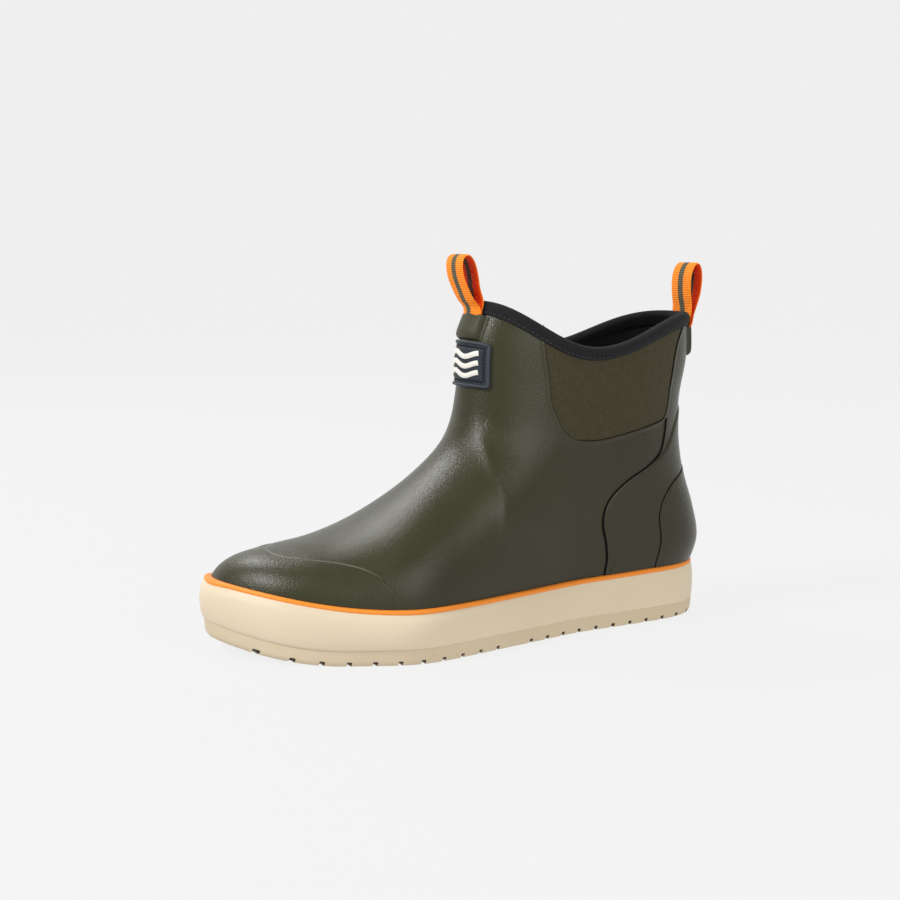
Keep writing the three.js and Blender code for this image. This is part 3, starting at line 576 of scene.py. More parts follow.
TOE_CAP_LINE = [(0, 0.15), (0.06, 0.138), (0.117, 0.124), (0.172, 0.118), (0.22, 0.11), (0.249, 0.1),
                (0.273, 0.088), (0.3, 0.066), (0.32, 0.04), (0.331, 0.012), (0.335, -0.1)]
toe_line = np.array([(-turn, rise) for turn, rise in TOE_CAP_LINE[::-1]] + TOE_CAP_LINE[1:])
COUNTER_LINE = [(0.661, -0.15), (0.656, 0.03), (0.64, 0.105), (0.622, 0.19), (0.613, 0.26), (0.614, 0.316),
                (0.627, 0.364), (0.656, 0.408), (0.703, 0.446), (0.76, 0.49), (0.8, 0.54), (0.83, 0.585),
                (0.88, 0.625), (0.94, 0.645), (1, 0.65)]
HEEL_PATCH_LINE = [(0.760, -0.1), (0.754, 0.04), (0.739, 0.198), (0.742, 0.259), (0.756, 0.308),
                   (0.793, 0.358), (0.86, 0.388), (0.93, 0.4), (1, 0.405)]
TOE_LIFT, COUNTER_LIFT, HEEL_PATCH_LIFT = 0.35, 0.8, 1.1
toe_edge = overlay("toe_cap_sheet", toe_line, TOE_LIFT, "toe_cap", 26, 0.9)
overlay("heel_counter_sheet", round_the_back(COUNTER_LINE), COUNTER_LIFT, "heel_counter", 40, 2.4)
overlay("heel_patch_sheet", round_the_back(HEEL_PATCH_LINE), HEEL_PATCH_LIFT, "heel_patch", 30, 0.8)

# %% The ridge on the toe cap, a painted highlight, and the dark seams, partly painted shade
RIDGE_FOOT = 0.056                          # the ridge stops at this rise, where the cap's edge turns down
RIDGE_LIFT, COUNTER_SEAM_LIFT, PATCH_SEAM_LIFT = 0.14, 0.35, 0.75
ridge_line = toe_edge[toe_edge[:, 1] > RIDGE_FOOT]
ridge_width = 1.1 * smooth(0, 0.12, 0.5 - np.abs(np.linspace(-0.5, 0.5, len(ridge_line)))) + 0.35
# Its paler finish is a painted highlight.
seam_along("toe_cap_bead", ridge_line, ridge_width, RIDGE_LIFT, ridge_highlight)
# The vamp's seam follows the counter's edge, then turns up to the stretch panel.
VAMP_END = [(0.661, -0.1)] + COUNTER_LINE[1:9] + [(0.744, 0.49), (0.757, 0.55), (0.756, 0.617)]
# Near-black beads: partly cement, partly painted shade in the joints.
for name, line, width, lift in (("counter_seam", VAMP_END, 1.1, COUNTER_SEAM_LIFT),
                                ("heel_patch_seam", HEEL_PATCH_LINE, 0.9, PATCH_SEAM_LIFT)):
    line = evenly(smooth_line(line), SEAM_POINTS)
    seam_along(name, line[line[:, 1] > over_stripe(line[:, 0])], width, lift, sides=(-1, 1))

# %% [markdown]
# ## Stretch panels
# A woven elastic panel on each side lets the foot in. It lies in a window of the rubber, whose lip stands
# a little over it, and a near-black bead along its lower and rear edges is painted shade in the groove
# between them. The cloth follows the last, so it is again a patch.

# %% The weave
PANEL_LINE = [(0.28, 1.01), (0.285, 0.985), (0.33, 0.884), (0.341, 0.804), (0.364, 0.75), (0.39, 0.704),
              (0.44, 0.654), (0.495, 0.625), (0.554, 0.61), (0.671, 0.612), (0.735, 0.62), (0.75, 0.66),
              (0.745, 0.74), (0.747, 0.84), (0.775, 0.91), (0.845, 0.975), (0.88, 1.01)]


def woven(name, colour, light, pitch, depth, roughness, sheen=0.2, streaks=0.0, shade_in=None):
    """Plain weave: warp and weft are two sines at right angles in the cloth's own (along, up)
    millimetres. Where their product is positive the warp lies on top, otherwise the weft, and slubs vary
    the threads' shade. Streaks are thicker yarns, noises drawn out along each direction. shade_in paints
    shade on what has the mark of that name, darkening it to a quarter of the colour."""
    f = Finish(name, Sheen_Weight=sheen, Sheen_Roughness=0.5, Specular_IOR_Level=0.2)
    across, up = f.mark("across"), f.mark("up")
    warp = (across * (math.pi / pitch)).sine()
    weft = (up * (math.pi / pitch)).sine()
    thread = warp.size() * weft.size()
    over = (warp * weft).between(-0.4, 0.4)
    slub = f.noise(700, 3)
    shade = (over * 0.35 + thread * 0.5 + slub * 0.5).between(0.1, 1.1)
    if streaks:
        yarns = [f.node("ShaderNodeTexNoise", {}, {"Vector": f.node("ShaderNodeCombineXYZ", {}, {
            0: across * a, 1: up * b}), "Scale": 1.0, "Detail": 2}) for a, b in ((1.6, 0.12), (0.12, 1.6))]
        shade = shade + ((yarns[0] + yarns[1]) - 1.0) * streaks
    tone = f.mix(shade, colour, light)
    if shade_in:
        # Painted shade: the marked part darkens to a quarter of the colour.
        tone = f.mix(f.mark(shade_in), tone, tuple(0.25 * c for c in colour))
    f.set(Base_Color=tone, Roughness=roughness + slub * 0.1)
    f.bump(thread + over * 0.3, depth, 0.8)
    return f.material


stretch_cloth = woven("stretch_cloth", (0.026, 0.022, 0.010), (0.082, 0.070, 0.036), 0.55, 0.00022, 0.85,
                      sheen=0.04, streaks=0.6)
PANEL_BELOW_RIM = 3.0                       # its upper edge hides under the binding
PANEL_LIFT, PANEL_UNDER = 0.2, -0.8
PANEL_EDGE = [(0, -0.5), (0.05, 0.0), (0.3, 0.16), (0.8, PANEL_LIFT)]


def panel_line(count):
    """The window's outline as that many even points, cut off level under the binding."""
    line = evenly(smooth_line(PANEL_LINE), count)
    rim = below_rim(line[:, 0], PANEL_BELOW_RIM)
    return np.stack([line[:, 0], np.minimum(line[:, 1], rim)], -1)


edge = panel_line(220)
closing = np.stack([np.linspace(edge[0, 0], edge[-1, 0], len(edge)), np.zeros(len(edge))], -1)
closing[:, 1] = below_rim(closing[:, 0], PANEL_BELOW_RIM)
middle = surface(0.55, 0.8)                 # the weave is measured from here
for side, word in ((-1, "lateral"), (1, "medial")):
    rings = patch(edge, closing, PANEL_EDGE, PANEL_LIFT, PANEL_UNDER, 34, side)
    marks = {"across": rings[..., 0] - middle[0], "up": rings[..., 2] - middle[2]}
    made = piece(f"stretch_cloth_{word}", rings, stretch_cloth, replaces=[f"stretch_panel_{word}"],
                 marks=marks)

# %% The lip round the window, and the groove inside it, a bead of painted shade
lip = [(-3.6, -0.25), (-2.6, 0.1), (-1.6, 0.38), (-0.8, 0.55), (-0.25, 0.55), (0.02, 0.4), (0.1, 0.1),
       (0.1, -0.6), (-3.6, -0.9)]
lip_line = panel_line(320)
for side, word in ((-1, "lateral"), (1, "medial")):
    piece(f"window_lip_{word}", strip(lip_line, lip, side), olive, creases=60)
share = np.linspace(0, 1, len(lip_line))
GROOVE_START = 0.36                         # share of the outline at which the groove starts
dark = share > GROOVE_START
groove_width = (0.1 + 0.5 * smooth(GROOVE_START, 0.5, share) + 0.9 * smooth(0.68, 0.74, share))[dark]
# A near-black bead in the groove round the window: painted shade.
seam_along("window_groove", shifted(lip_line, 0.3)[dark], groove_width, 0.16, sides=(-1, 1))

# %% [markdown]
# ## Lining
# A neoprene sock with a knitted face fills the upper. Only its inside shows, down the shaft. It is one
# wall between two offsets. At this size a plain weave of two crossed sines stands for the knit's small
# loops.

# %% Lining, seam tape and footbed cloth
knit = woven("neoprene_knit", (0.0035, 0.0035, 0.004), (0.010, 0.0095, 0.011), 0.7, 0.0002, 0.95, 0.03)
tape_cloth = woven("seam_tape_cloth", (0.012, 0.0115, 0.013), (0.034, 0.033, 0.037), 0.6, 0.0002, 0.9, 0.05)
sock_turns = np.arange(200) / 100 - 1
sock_rim = below_rim(sock_turns, 2.4)
sock_outer = [(rise * sock_rim, LINING_OUT) for rise in np.linspace(0, 1, 12)]
sock_inner = [(rise * sock_rim, LINING_IN) for rise in np.linspace(0, 1, 90)]
sock_outer = [(-np.ones(200), LINING_OUT)] + sock_outer
sock_inner = [(-np.ones(200), LINING_IN)] + sock_inner
rings = wall(sock_turns, sock_outer, sock_inner)
around = np.cumsum(np.linalg.norm(np.diff(rings[:, -60], axis=0, prepend=rings[:1, -60]), axis=1))
piece("neoprene_sock", rings, knit, closed=True, replaces=["lining_sock"],
      marks={"across": np.broadcast_to(around[:, None], rings.shape[:2]), "up": rings[..., 2]})

TAPE_HALF_WIDTH, TAPE_THICKNESS = 8, 0.75
tape_line = np.stack([np.ones(90), np.linspace(0.3, 0.935, 90)], -1)
tape_in = LINING_IN - 0.1
tape_profile = [(y, tape_in - TAPE_THICKNESS * round_off((TAPE_HALF_WIDTH - abs(y)) / 1.2, 2))
                for y in np.linspace(-TAPE_HALF_WIDTH, TAPE_HALF_WIDTH, 17)]
rings = strip(tape_line, tape_profile + [(TAPE_HALF_WIDTH, tape_in), (-TAPE_HALF_WIDTH, tape_in)])
piece("heel_seam_tape", rings, tape_cloth, replaces=["back_seam_tape"],
      marks={"across": rings[..., 1], "up": rings[..., 2]})

# %% [markdown]
# ## Bound collar
# A folded knit band closes the top edge over rubber and lining. Its section is a soft roll: it bulges
# outside, turns over the rim in a half ellipse and goes down inside. A row of lockstitch, in thread a
# little paler than the band, holds its lower edge.

# %% The binding and its stitches
# The band's inward side, inside the shaft, is painted darker as shade.
binding_cloth = woven("collar_knit", (0.0065, 0.006, 0.007), (0.019, 0.018, 0.020), 0.8, 0.00018, 0.9, 0.04,
                      shade_in="inward")
collar_thread = woven("collar_thread", (0.03, 0.029, 0.031), (0.075, 0.072, 0.077), 0.3, 0.0001, 0.8, 0.05)
badge_thread = woven("badge_thread", (0.003, 0.003, 0.004), (0.010, 0.010, 0.012), 0.3, 0.0001, 0.8, 0.05)
collar_turns = np.arange(360) / 180 - 1
SIDE_DROPS = np.array([9.0, 8.9, 8.5, 7.6, 6.6, 5.0, 3.6])
SIDE_PUFF = np.array([0.1, 0.75, 1.0, 0.95, 1.35, 1.65, 1.7])
roll = np.linspace(0, np.pi, 15)
roll_middle, roll_half = (1.7 + BIND_IN - 0.1) / 2, (1.7 - BIND_IN + 0.1) / 2
section = list(zip(SIDE_DROPS, SIDE_PUFF))
section += [(3.6 - 3.5 * math.sin(a) + 1.6 * (1 - math.cos(a)) / 2, roll_middle + roll_half * math.cos(a))
            for a in roll]
section += [(drop, BIND_IN + 1.5 - puff) for drop, puff in zip(SIDE_DROPS[::-1], SIDE_PUFF[::-1])]
section += [(SIDE_DROPS[0], -3.0)]
rim_scale = rise_scale(collar_turns, np.ones(360))
rings = np.stack([skin(collar_turns, 1 - drop / rim_scale, offset) for drop, offset in section], 1)
around = np.cumsum(np.linalg.norm(np.diff(rings[:, 5], axis=0, prepend=rings[:1, 5]), axis=1))
ring_up = np.cumsum(np.linalg.norm(np.diff(rings[0], axis=0, prepend=rings[0, :1]), axis=1))
piece("collar_band", rings, binding_cloth, closed=True, replaces=["collar_binding"],
      marks={"across": np.broadcast_to(around[:, None], rings.shape[:2]),
             "up": np.broadcast_to(ring_up[None], rings.shape[:2]),
             "inward": np.broadcast_to(smooth(0, -3, np.array(section)[:, 1]), rings.shape[:2])}, creases=80)


STITCH_SINK = 0.3                           # share of its half thickness that a stitch sinks in


def stitches(name, line, pitch, length, width, finish, lift):
    """A row of stitches along a line of (turn, rise): one small pillow, copied to even places. Each copy
    is laid along the line and across the surface, with its own three directions, all at once as
    arrays."""
    track = skin(*line.T, lift)
    outer = skin(*line.T, lift + 1) - track
    along = length_along(track)
    count = int(along[-1] / pitch)
    places = (np.arange(count) + 0.5) * along[-1] / count
    centre, up, heading = (np.stack([np.interp(places, along, column) for column in values.T], -1)
                           for values in (track, outer, np.gradient(track, axis=0)))
    heading /= np.linalg.norm(heading, axis=1, keepdims=True)
    sideways = np.cross(up, heading)
    angle, ring = np.arange(6) * np.pi / 3, np.array([-0.5, -0.3, 0.3, 0.5])
    size = np.array([0.35, 1, 1, 0.35])
    half = width / 2
    local = np.array([(length * r, half * s * math.cos(a), half * s * math.sin(a) - STITCH_SINK * half)
                      for r, s in zip(ring, size) for a in angle])
    basis = np.stack([heading, sideways, up], 1)
    points = centre[:, None] + local @ basis
    one = ring_faces(4, 6, False).tolist() + [list(range(6)), list(range(18, 24))[::-1]]
    faces = [[v + 24 * k for v in face] for k in range(count) for face in one]
    mesh_piece(name, points.reshape(-1, 3), faces, finish)


STITCH_DROP = 7.7                           # how far below the collar's edge the row runs
stitch_rise = 1 - STITCH_DROP / rim_scale
band_line = np.stack([np.append(collar_turns, 1), np.append(stitch_rise, stitch_rise[0])], -1)
stitches("collar_stitches", band_line, pitch=2.9, length=1.7, width=0.6, finish=collar_thread, lift=1.05)

# %% [markdown]
# ## Sidewall, stripe and outsole
# The foxing is a band of pale rubber rolled round the edge of the sole, with the coloured stripe along
# its top. Both are rings of one section that follows the last's lower edge. The outsole's ground face is
# cut by wavy sipes.

# %% Bands round the sole
WALL_FOOT = OUTSOLE_THICKNESS - 0.1
WALL_SHAPE = smooth_line([(0.0, 3.15), (0.02, 3.6), (0.08, 4.15), (0.25, 4.9), (0.52, 5.2), (0.78, 4.5),
                          (0.93, 3.2), (1.0, 2.35)], 5)
FLAT_OFFSET, HEEL_SLACK = 2.6, 0.62         # what bulges past this offset loses that share at the heel
BAND_INSIDE = -0.6


def stripe_middle(x):
    """Height of the stripe's middle at a place along the boot."""
    return np.interp(x, *STRIPE_LINE.T)


def band(turns, shape, foot, top):
    """Rings of a band round the sole: shape is a list of (share of the height, offset). Each point is
    moved level out of the last's lower edge and set at its height, and a bulge is weaker towards the
    heel. Two points inside the upper's wall close the section."""
    rings = []
    for share, offset in list(shape) + [(shape[-1][0], BAND_INSIDE), (shape[0][0], BAND_INSIDE)]:
        p = skin(turns, -0.5, offset)
        slack = 1 - HEEL_SLACK * smooth(-60, 125, p[:, 0])
        p = skin(turns, -0.5, np.minimum(offset, FLAT_OFFSET) + np.maximum(offset - FLAT_OFFSET, 0) * slack)
        if offset == BAND_INSIDE:
            wall_rise = np.minimum(rise_at(turns, lambda x: foot(x) + share * (top(x) - foot(x))), 0.2)
            p = skin(turns, np.maximum(wall_rise, -0.999), BAND_INSIDE)
        p[:, 2] = foot(p[:, 0]) + share * (top(p[:, 0]) - foot(p[:, 0]))
        rings.append(p)
    return np.stack(rings, 1)


sole_turns = np.arange(480) / 240 - 1
rings = band(sole_turns, WALL_SHAPE, lambda x: WALL_FOOT + spring(x), lambda x: stripe_middle(x) - 1.2)
piece("foxing", rings, sidewall, closed=True, replaces=["foxing_band"])
bead = [(0.0, 1.9), (0.0, 2.3), (0.25, 2.6), (0.5, 2.6), (0.78, 2.25), (0.95, 1.6), (1.0, 1.0)]
rings = band(sole_turns, bead, lambda x: stripe_middle(x) - 1.2, lambda x: stripe_middle(x) + 1.05)
piece("foxing_bead", rings, stripe, closed=True, replaces=["foxing_stripe"])

# %% The siped outsole
TREAD_DEPTH, TREAD_WIDTH, TREAD_PITCH, TREAD_WAVE, WAVE_SPAN = 2.4, 2.0, 12, 2.5, 54
SIPE_EDGE, LAST_SIPE = 0.3, 11              # the slant of a sipe's sides, and how many there are each way
SIDE_HEIGHTS = np.array([0, 0.5, 1.0, 1.6, 2.1, 2.6, 4.5, 7.5, 8.3, 8.5])
SIDE_OFFSETS = np.array([0.9, 1.5, 1.9, 2.2, 2.4, 2.5, 2.7, 2.95, 2.98, 2.9])


def sipe(x, y):
    """Depth of the sipes: bars at an even pitch along x, swung fore and aft by a cosine of y. The one
    under the middle of the boot is left out."""
    from_bar = x + TREAD_WAVE * np.cos(np.pi * y / WAVE_SPAN)
    nearest = np.round(from_bar / TREAD_PITCH)
    off_bar = np.abs(from_bar - nearest * TREAD_PITCH)
    depth = TREAD_DEPTH * np.clip((TREAD_WIDTH / 2 + SIPE_EDGE / 2 - off_bar) / SIPE_EDGE, 0, 1)
    return np.where((nearest == 0) | (np.abs(nearest) > LAST_SIPE), 0, depth)


even_x = np.arccos(1 - 2 * np.linspace(0, 1, 860)) / np.pi
station = np.unique(np.round(np.concatenate([even_x, np.linspace(0, 1, 160)]), 6))


def side_of_sole(turn):
    """Points up the sole's edge: where a sipe runs out, the lower ones are lifted to its roof."""
    rows = []
    for height, offset in zip(SIDE_HEIGHTS, SIDE_OFFSETS):
        p = skin(turn, -0.5, offset)
        lifted = np.maximum(height, sipe(p[:, 0], p[:, 1]))
        p = skin(turn, -0.5, np.interp(lifted, SIDE_HEIGHTS, SIDE_OFFSETS))
        p[:, 2] = lifted + spring(p[:, 0])
        rows.append(p)
    return np.stack(rows, 1)


lateral, medial = side_of_sole(-station), side_of_sole(station)
share = np.linspace(0, 1, 44)[1:-1, None]
ground = lateral[:, None, 0] * (1 - share) + medial[:, None, 0] * share
ground[..., 2] = sipe(ground[..., 0], ground[..., 1]) + spring(ground[..., 0])
rings = np.concatenate([lateral[:, ::-1], ground, medial], 1)
# The sipes' depth, which the tread's finish paints as shade.
groove = sipe(rings[..., 0], rings[..., 1]) * (rings[..., 2] - spring(rings[..., 0]) < TREAD_DEPTH + 0.1)
piece("siped_outsole", rings, tread, replaces=["outsole"], creases=30,
      marks={"groove": groove})

# %% [markdown]
# ## Pull loops
# Each loop is one length of ribbed webbing: its two ends lie on each other under a moulded tab, and above
# the collar it opens into a drop. The ribbon is a flat section carried along a path in the boot's middle
# plane; its lower part also bends round the collar. Ribs are real geometry, so they catch the light along
# the edges.

# %% The webbing
WEB_WIDTH, WEB_THICKNESS, RIB_PITCH, RIB_HEIGHT, POINTS_PER_RIB = 19, 1.2, 1.05, 0.14, 5
TAB_DROP = BINDING_HEIGHT + 1.6


def webbing(name):
    """Ribbed webbing: orange with a grey-green middle stripe, and painted redder on its inner face for the
    light bounced inside the loop. The stripe's edge and the ribs come from the ribbon's own across and
    along marks, in millimetres; the colour is deeper between ribs, partly dirt and partly painted shade."""
    f = Finish(name, Sheen_Weight=0.03, Specular_IOR_Level=0.15)
    across, along = f.mark("across"), f.mark("along")
    rib = (along * (2 * math.pi / RIB_PITCH)).sine() * 0.5 + 0.5
    yarn = (across * (2 * math.pi / 0.8)).sine() * 0.5 + 0.5
    slub = f.noise(800, 3)
    is_stripe = (across.size() + slub * 0.3).between(2.75, 2.45)
    # Darker between the ribs, here and in the green stripe below: partly dirt, partly painted shade.
    orange = f.mix((rib * 0.6 + slub * 0.5).between(0.1, 0.9), (0.78, 0.16, 0.008), (1.0, 0.31, 0.022))
    # Painted light: the inner face is redder, for light bounced inside the loop.
    orange = f.mix(f.mark("inner"), orange, (0.88, 0.075, 0.003))
    green = f.mix((rib * 0.6 + slub * 0.5).between(0.1, 0.9), (0.035, 0.032, 0.018), (0.15, 0.135, 0.082))
    f.set(Base_Color=f.mix(is_stripe, orange, green), Roughness=0.62 + 0.15 * slub)
    f.bump(rib * 0.8 + yarn * 0.3, 0.00016, 0.7)
    return f.material


orange_webbing = webbing("orange_webbing")


def ply_point(middle, drop, offset):
    """A point of a ply in side view (x, z), that far below the rim and out of the surface."""
    rise = below_rim(np.array([middle * 1.0]), drop)
    return skin(np.array([middle * 1.0]), rise, offset)[0, [0, 2]]


def ribbon(path, sag, foot, inner_side=1):
    """Rings of the webbing along a path of (x, z): a flat section with rounded edges, ribbed along its
    length. sag bends it back round the collar, by y squared, as far up as the foot height. inner_side is
    1 where the path's right hand is inside the loop, and 0 where its left hand is."""
    path = smooth_line(path, 40)
    path = evenly(path, int(length_along(path)[-1] / RIB_PITCH * POINTS_PER_RIB))
    heading = np.gradient(path, axis=0)
    heading /= np.linalg.norm(heading, axis=1, keepdims=True)
    normal = np.stack([-heading[:, 1], heading[:, 0]], -1)
    along = length_along(path)
    rib = RIB_HEIGHT * (0.5 + 0.5 * np.sin(2 * np.pi * along / RIB_PITCH))
    side = np.linspace(-1, 1, 19)
    half = WEB_THICKNESS / 2 * (1 - np.abs(side) ** 8) ** 0.5
    ys = np.concatenate([side, side[-2:0:-1]]) * WEB_WIDTH / 2
    outs = np.concatenate([half, -half[-2:0:-1]])
    ribbed = np.sign(outs) * rib[:, None] * (np.abs(outs) > 0.2)
    out = outs[None] + ribbed
    bend = sag * smooth(foot + 12, foot - 8, path[:, 1])[:, None] * ys[None] ** 2
    x = path[:, :1] + normal[:, :1] * out + bend
    z = path[:, 1:] + normal[:, 1:] * out
    rings = np.stack([x, np.broadcast_to(ys, x.shape), z], -1)
    # The faces inside the loop, which the webbing's finish paints redder as bounced light.
    inner = outs < -0.1 if inner_side else outs > 0.1
    return rings, {"across": np.broadcast_to(ys, x.shape), "along": np.broadcast_to(along[:, None], x.shape),
                   "inner": np.broadcast_to(inner, x.shape).astype(float)}


FRONT_PATH = [ply_point(0, d, o) for d, o in ((22, 0.5), (16, 0.55), (11.5, 0.9), (8.5, 2.4), (5, 2.7))]
FRONT_PATH += [(4.6, 183.5), (3.6, 189), (2.6, 196), (0.9, 202.4), (-1.6, 206.3), (-4.2, 207.2),
               (-6.4, 205.6), (-7.2, 201.5), (-6.2, 195.5), (-3.6, 189), (-1.2, 183.6)]
FRONT_PATH += [ply_point(0, d, o) for d, o in ((7.0, 4.3), (11.5, 2.2), (16, 1.6), (22, 1.6))]
REAR_PATH = [ply_point(1, d, o) for d, o in ((22, 0.5), (16, 0.55), (11.5, 0.9), (8.5, 2.4), (4, 2.6))]
REAR_PATH += [(145.2, 177.5), (144.0, 183), (143.6, 189), (144.1, 195.4), (146.2, 200.3), (148.8, 201.9),
              (150.9, 199.5), (151.7, 193.5), (150.9, 186), (149.2, 179)]
REAR_PATH += [ply_point(1, d, o) for d, o in ((3, 4.5), (7.5, 3.8), (11.5, 2.2), (16, 1.6), (22, 1.6))]
for word, path, sag, joint in (("front", FRONT_PATH, 0.0225, 0), ("rear", REAR_PATH, -0.0235, 1)):
    pivot_x, _, pivot_z = np.array(frame["joints"][joint]["pos_m"]) / MM
    rings, marks = ribbon(np.array(path), sag, pivot_z - 6, inner_side=joint)
    made = piece(f"{word}_pull_loop", rings, orange_webbing, body=None, marks=marks,
                 replaces=[f"{word}_loop", f"{word}_loop_tail"], creases=50)
    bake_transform(made)

# %% Moulded tabs over the webbing's ends
def tab(name, middle, length, lift, node):
    """A rubber sheet pressed over the webbing: flat beside it, up its edge in an S, level over it. The
    section is carried down from the collar's binding, and the ends are rounded off."""
    half = WEB_WIDTH / 2 + 0.3
    y = np.concatenate([np.linspace(-half - 2.4, -half - 0.3, 7), np.linspace(-half, half, 25),
                        np.linspace(half + 0.3, half + 2.4, 7)])
    up = lift * smooth(half + 0.7, half - 0.5, np.abs(y)) + 0.45 * smooth(half + 2.4, half + 1.7, np.abs(y))
    drops = np.concatenate([[length, length - 0.3, length - 1, length - 2.2], np.linspace(length - 4, 0, 16),
                            [-0.4, -0.7, -0.8]])
    end = np.concatenate([[0.0, 0.35, 0.68, 0.93], np.ones(16), [0.97, 0.88, 0.7]])
    turn = middle + y / turn_scale(np.array([middle * 1.0]), np.array([0.95]))
    rings = []
    for drop, share in zip(drops, end):
        rise = 1 - (drop + TAB_DROP) / rise_scale(turn, np.ones_like(turn))
        outer = skin(turn, rise, np.maximum(up * share, -0.2))
        inner = skin(turn, rise, -0.6)
        rings.append(np.vstack([outer, inner[::-1]]))
    piece(name, np.array(rings), olive_tab, replaces=[node], creases=60)


FRONT_TAB_LENGTH, REAR_TAB_LENGTH = 13.5, 16
FRONT_TAB_LIFT, REAR_TAB_LIFT = 2.75, 2.7
tab("front_webbing_tab", 0, FRONT_TAB_LENGTH, FRONT_TAB_LIFT, "front_tab")
tab("rear_webbing_tab", 1, REAR_TAB_LENGTH, REAR_TAB_LIFT, "rear_tab")

# %% [markdown]
# ## Badge
# A moulded rubber badge sits on the shin under the front tab: a raised grey rim, a stitched channel
# inside it, a dark field and a pale raised emblem of three waves. It is drawn as rounded rectangles inset
# one inside another, each at its own height, and wrapped onto the boot.

# %% The badge
BADGE_HALF_TURN, BADGE_HALF_HEIGHT, BADGE_CORNER, BADGE_BELOW_TAB = 0.15, 12.5, 2.2, 0.6
badge_top = float(below_rim(np.zeros(1), TAB_DROP + FRONT_TAB_LENGTH + BADGE_BELOW_TAB)[0])
up_scale = float(rise_scale(np.zeros(1), np.array([badge_top]))[0])
badge_middle = badge_top - BADGE_HALF_HEIGHT / up_scale
round_scale = float(turn_scale(np.array([0.07]), np.array([badge_middle]))[0])
BADGE_HALF = np.array([BADGE_HALF_TURN * round_scale, BADGE_HALF_HEIGHT])
POINTS_PER_SIDE = 15
print("badge:", np.round(2 * BADGE_HALF, 1), "mm")


def on_badge(u, v, lift):
    """A point of the badge: u and v are millimetres across and up from its middle."""
    return skin(u / round_scale, badge_middle + v / up_scale, lift)


def rounded_rectangle(inset):
    """The badge's outline moved in by a distance; the corners are quarter circles, with even points
    between."""
    radius = max(BADGE_CORNER - inset, 0.35)
    half = BADGE_HALF - inset - radius
    corner = np.linspace(0, np.pi / 2, 7)
    outline = []
    for k, (sx, sy) in enumerate(((1, 1), (-1, 1), (-1, -1), (1, -1))):
        angle = corner + k * np.pi / 2
        arc = np.stack([sx * half[0] + radius * np.cos(angle), sy * half[1] + radius * np.sin(angle)], -1)
        outline.append(arc)
        next_corner = np.array(((-1, 1), (-1, -1), (1, -1), (1, 1))[k]) * half
        start, end = arc[-1], next_corner + radius * np.array([math.cos(angle[-1]), math.sin(angle[-1])])
        outline.append(start + (end - start) * np.linspace(0, 1, POINTS_PER_SIDE + 2)[1:-1, None])
    return np.vstack(outline)


def badge_rings(profile):
    """One ring for each (inset, height) of the profile."""
    return np.stack([on_badge(*rounded_rectangle(inset).T, lift) for inset, lift in profile])


FIELD = 1.35                                # height of the field over the boot
rim_profile = [(0, -0.3), (0, 1.5), (0.15, 1.85), (0.45, 2.1), (0.9, 2.2), (1.35, 2.1), (1.6, 1.85),
               (1.7, FIELD - 0.2), (1.7, -0.3)]
piece("badge_rim", badge_rings(rim_profile), rim_rubber, closed=True)
field_insets = [1.6, 1.65, 2.2, 2.5, 2.75, 3.2, 3.7, 3.95, 4.2] + list(np.linspace(5, 12.1, 10))
field_lifts = [-0.3] + [FIELD + step for step in (0, 0, 0, -0.3, -0.35, -0.3, 0)] + [FIELD + 0.15] * 11
field_rings = badge_rings(list(zip(field_insets, field_lifts)))
piece("badge_field", field_rings, badge_rubber, replaces=["badge"])
channel = rounded_rectangle(3.2)
channel = np.vstack([channel, channel[:1]])
channel_line = np.stack([channel[:, 0] / round_scale, badge_middle + channel[:, 1] / up_scale], -1)
stitches("badge_stitches", evenly(channel_line, 300), pitch=1.9, length=1.35, width=0.7, finish=badge_thread,
         lift=FIELD - 0.15)

# %% The emblem's waves
WAVE_REACH, WAVE_PITCH, WAVE_HEIGHT = 0.70, 5.2, 1.3
for k in range(3):
    across = np.linspace(-WAVE_REACH, WAVE_REACH, 60) * BADGE_HALF[0]
    height = (k - 1) * WAVE_PITCH + WAVE_HEIGHT * np.sin(across / BADGE_HALF[0] * 2 * np.pi)
    line = np.stack([across / round_scale, badge_middle + height / up_scale], -1)
    base = FIELD + 0.1
    wave = [(-1.35, base - 0.3), (-1.35, base + 0.45), (-1.15, base + 0.62), (0, base + 0.68),
            (1.15, base + 0.62), (1.35, base + 0.45), (1.35, base - 0.3)]
    piece(f"badge_wave_bar_{k + 1}", strip(line, wave), emblem, replaces=[f"badge_wave_{k + 1}"])

# %% [markdown]
# ## Inside the boot
# The footbed's cloth shows when you look down the shaft. The parts under it, which nothing shows, keep
# their CAD meshes and get their own finishes.

# %% Footbed cloth, and finishes for the parts that stay
cover_cloth = woven("footbed_cloth", (0.012, 0.013, 0.016), (0.040, 0.043, 0.052), 0.9, 0.00025, 0.92, 0.3)
COVER_FOOT, COVER_THICKNESS, COVER_CUP, CUP_REACH = 22.7, 1.0, 3.0, 30
inner = LINING_IN - GAP
u = (1 - np.cos(np.pi * np.linspace(0, 1, 121))) / 2
u = np.arccos(1 - 2 * u) / np.pi


def cover_face(height):
    """A face of the cloth: straight lines across between the lining's two sides, dished in the middle."""
    edges = []
    for sign in (-1, 1):
        rise = rise_at(sign * u, lambda x: height + COVER_CUP + spring(x))
        edges.append(skin(sign * u, rise, inner))
    share = np.linspace(0, 1, 31)[:, None]
    grid = edges[0][:, None] * (1 - share) + edges[1][:, None] * share
    from_end = np.minimum(grid[..., 0] - edges[0][0, 0], edges[0][-1, 0] - grid[..., 0])
    hollow = (1 - (2 * share[:, 0] - 1) ** 2) * smooth(0, CUP_REACH, from_end)
    grid[..., 2] = height + spring(grid[..., 0]) + COVER_CUP * (1 - hollow)
    return grid


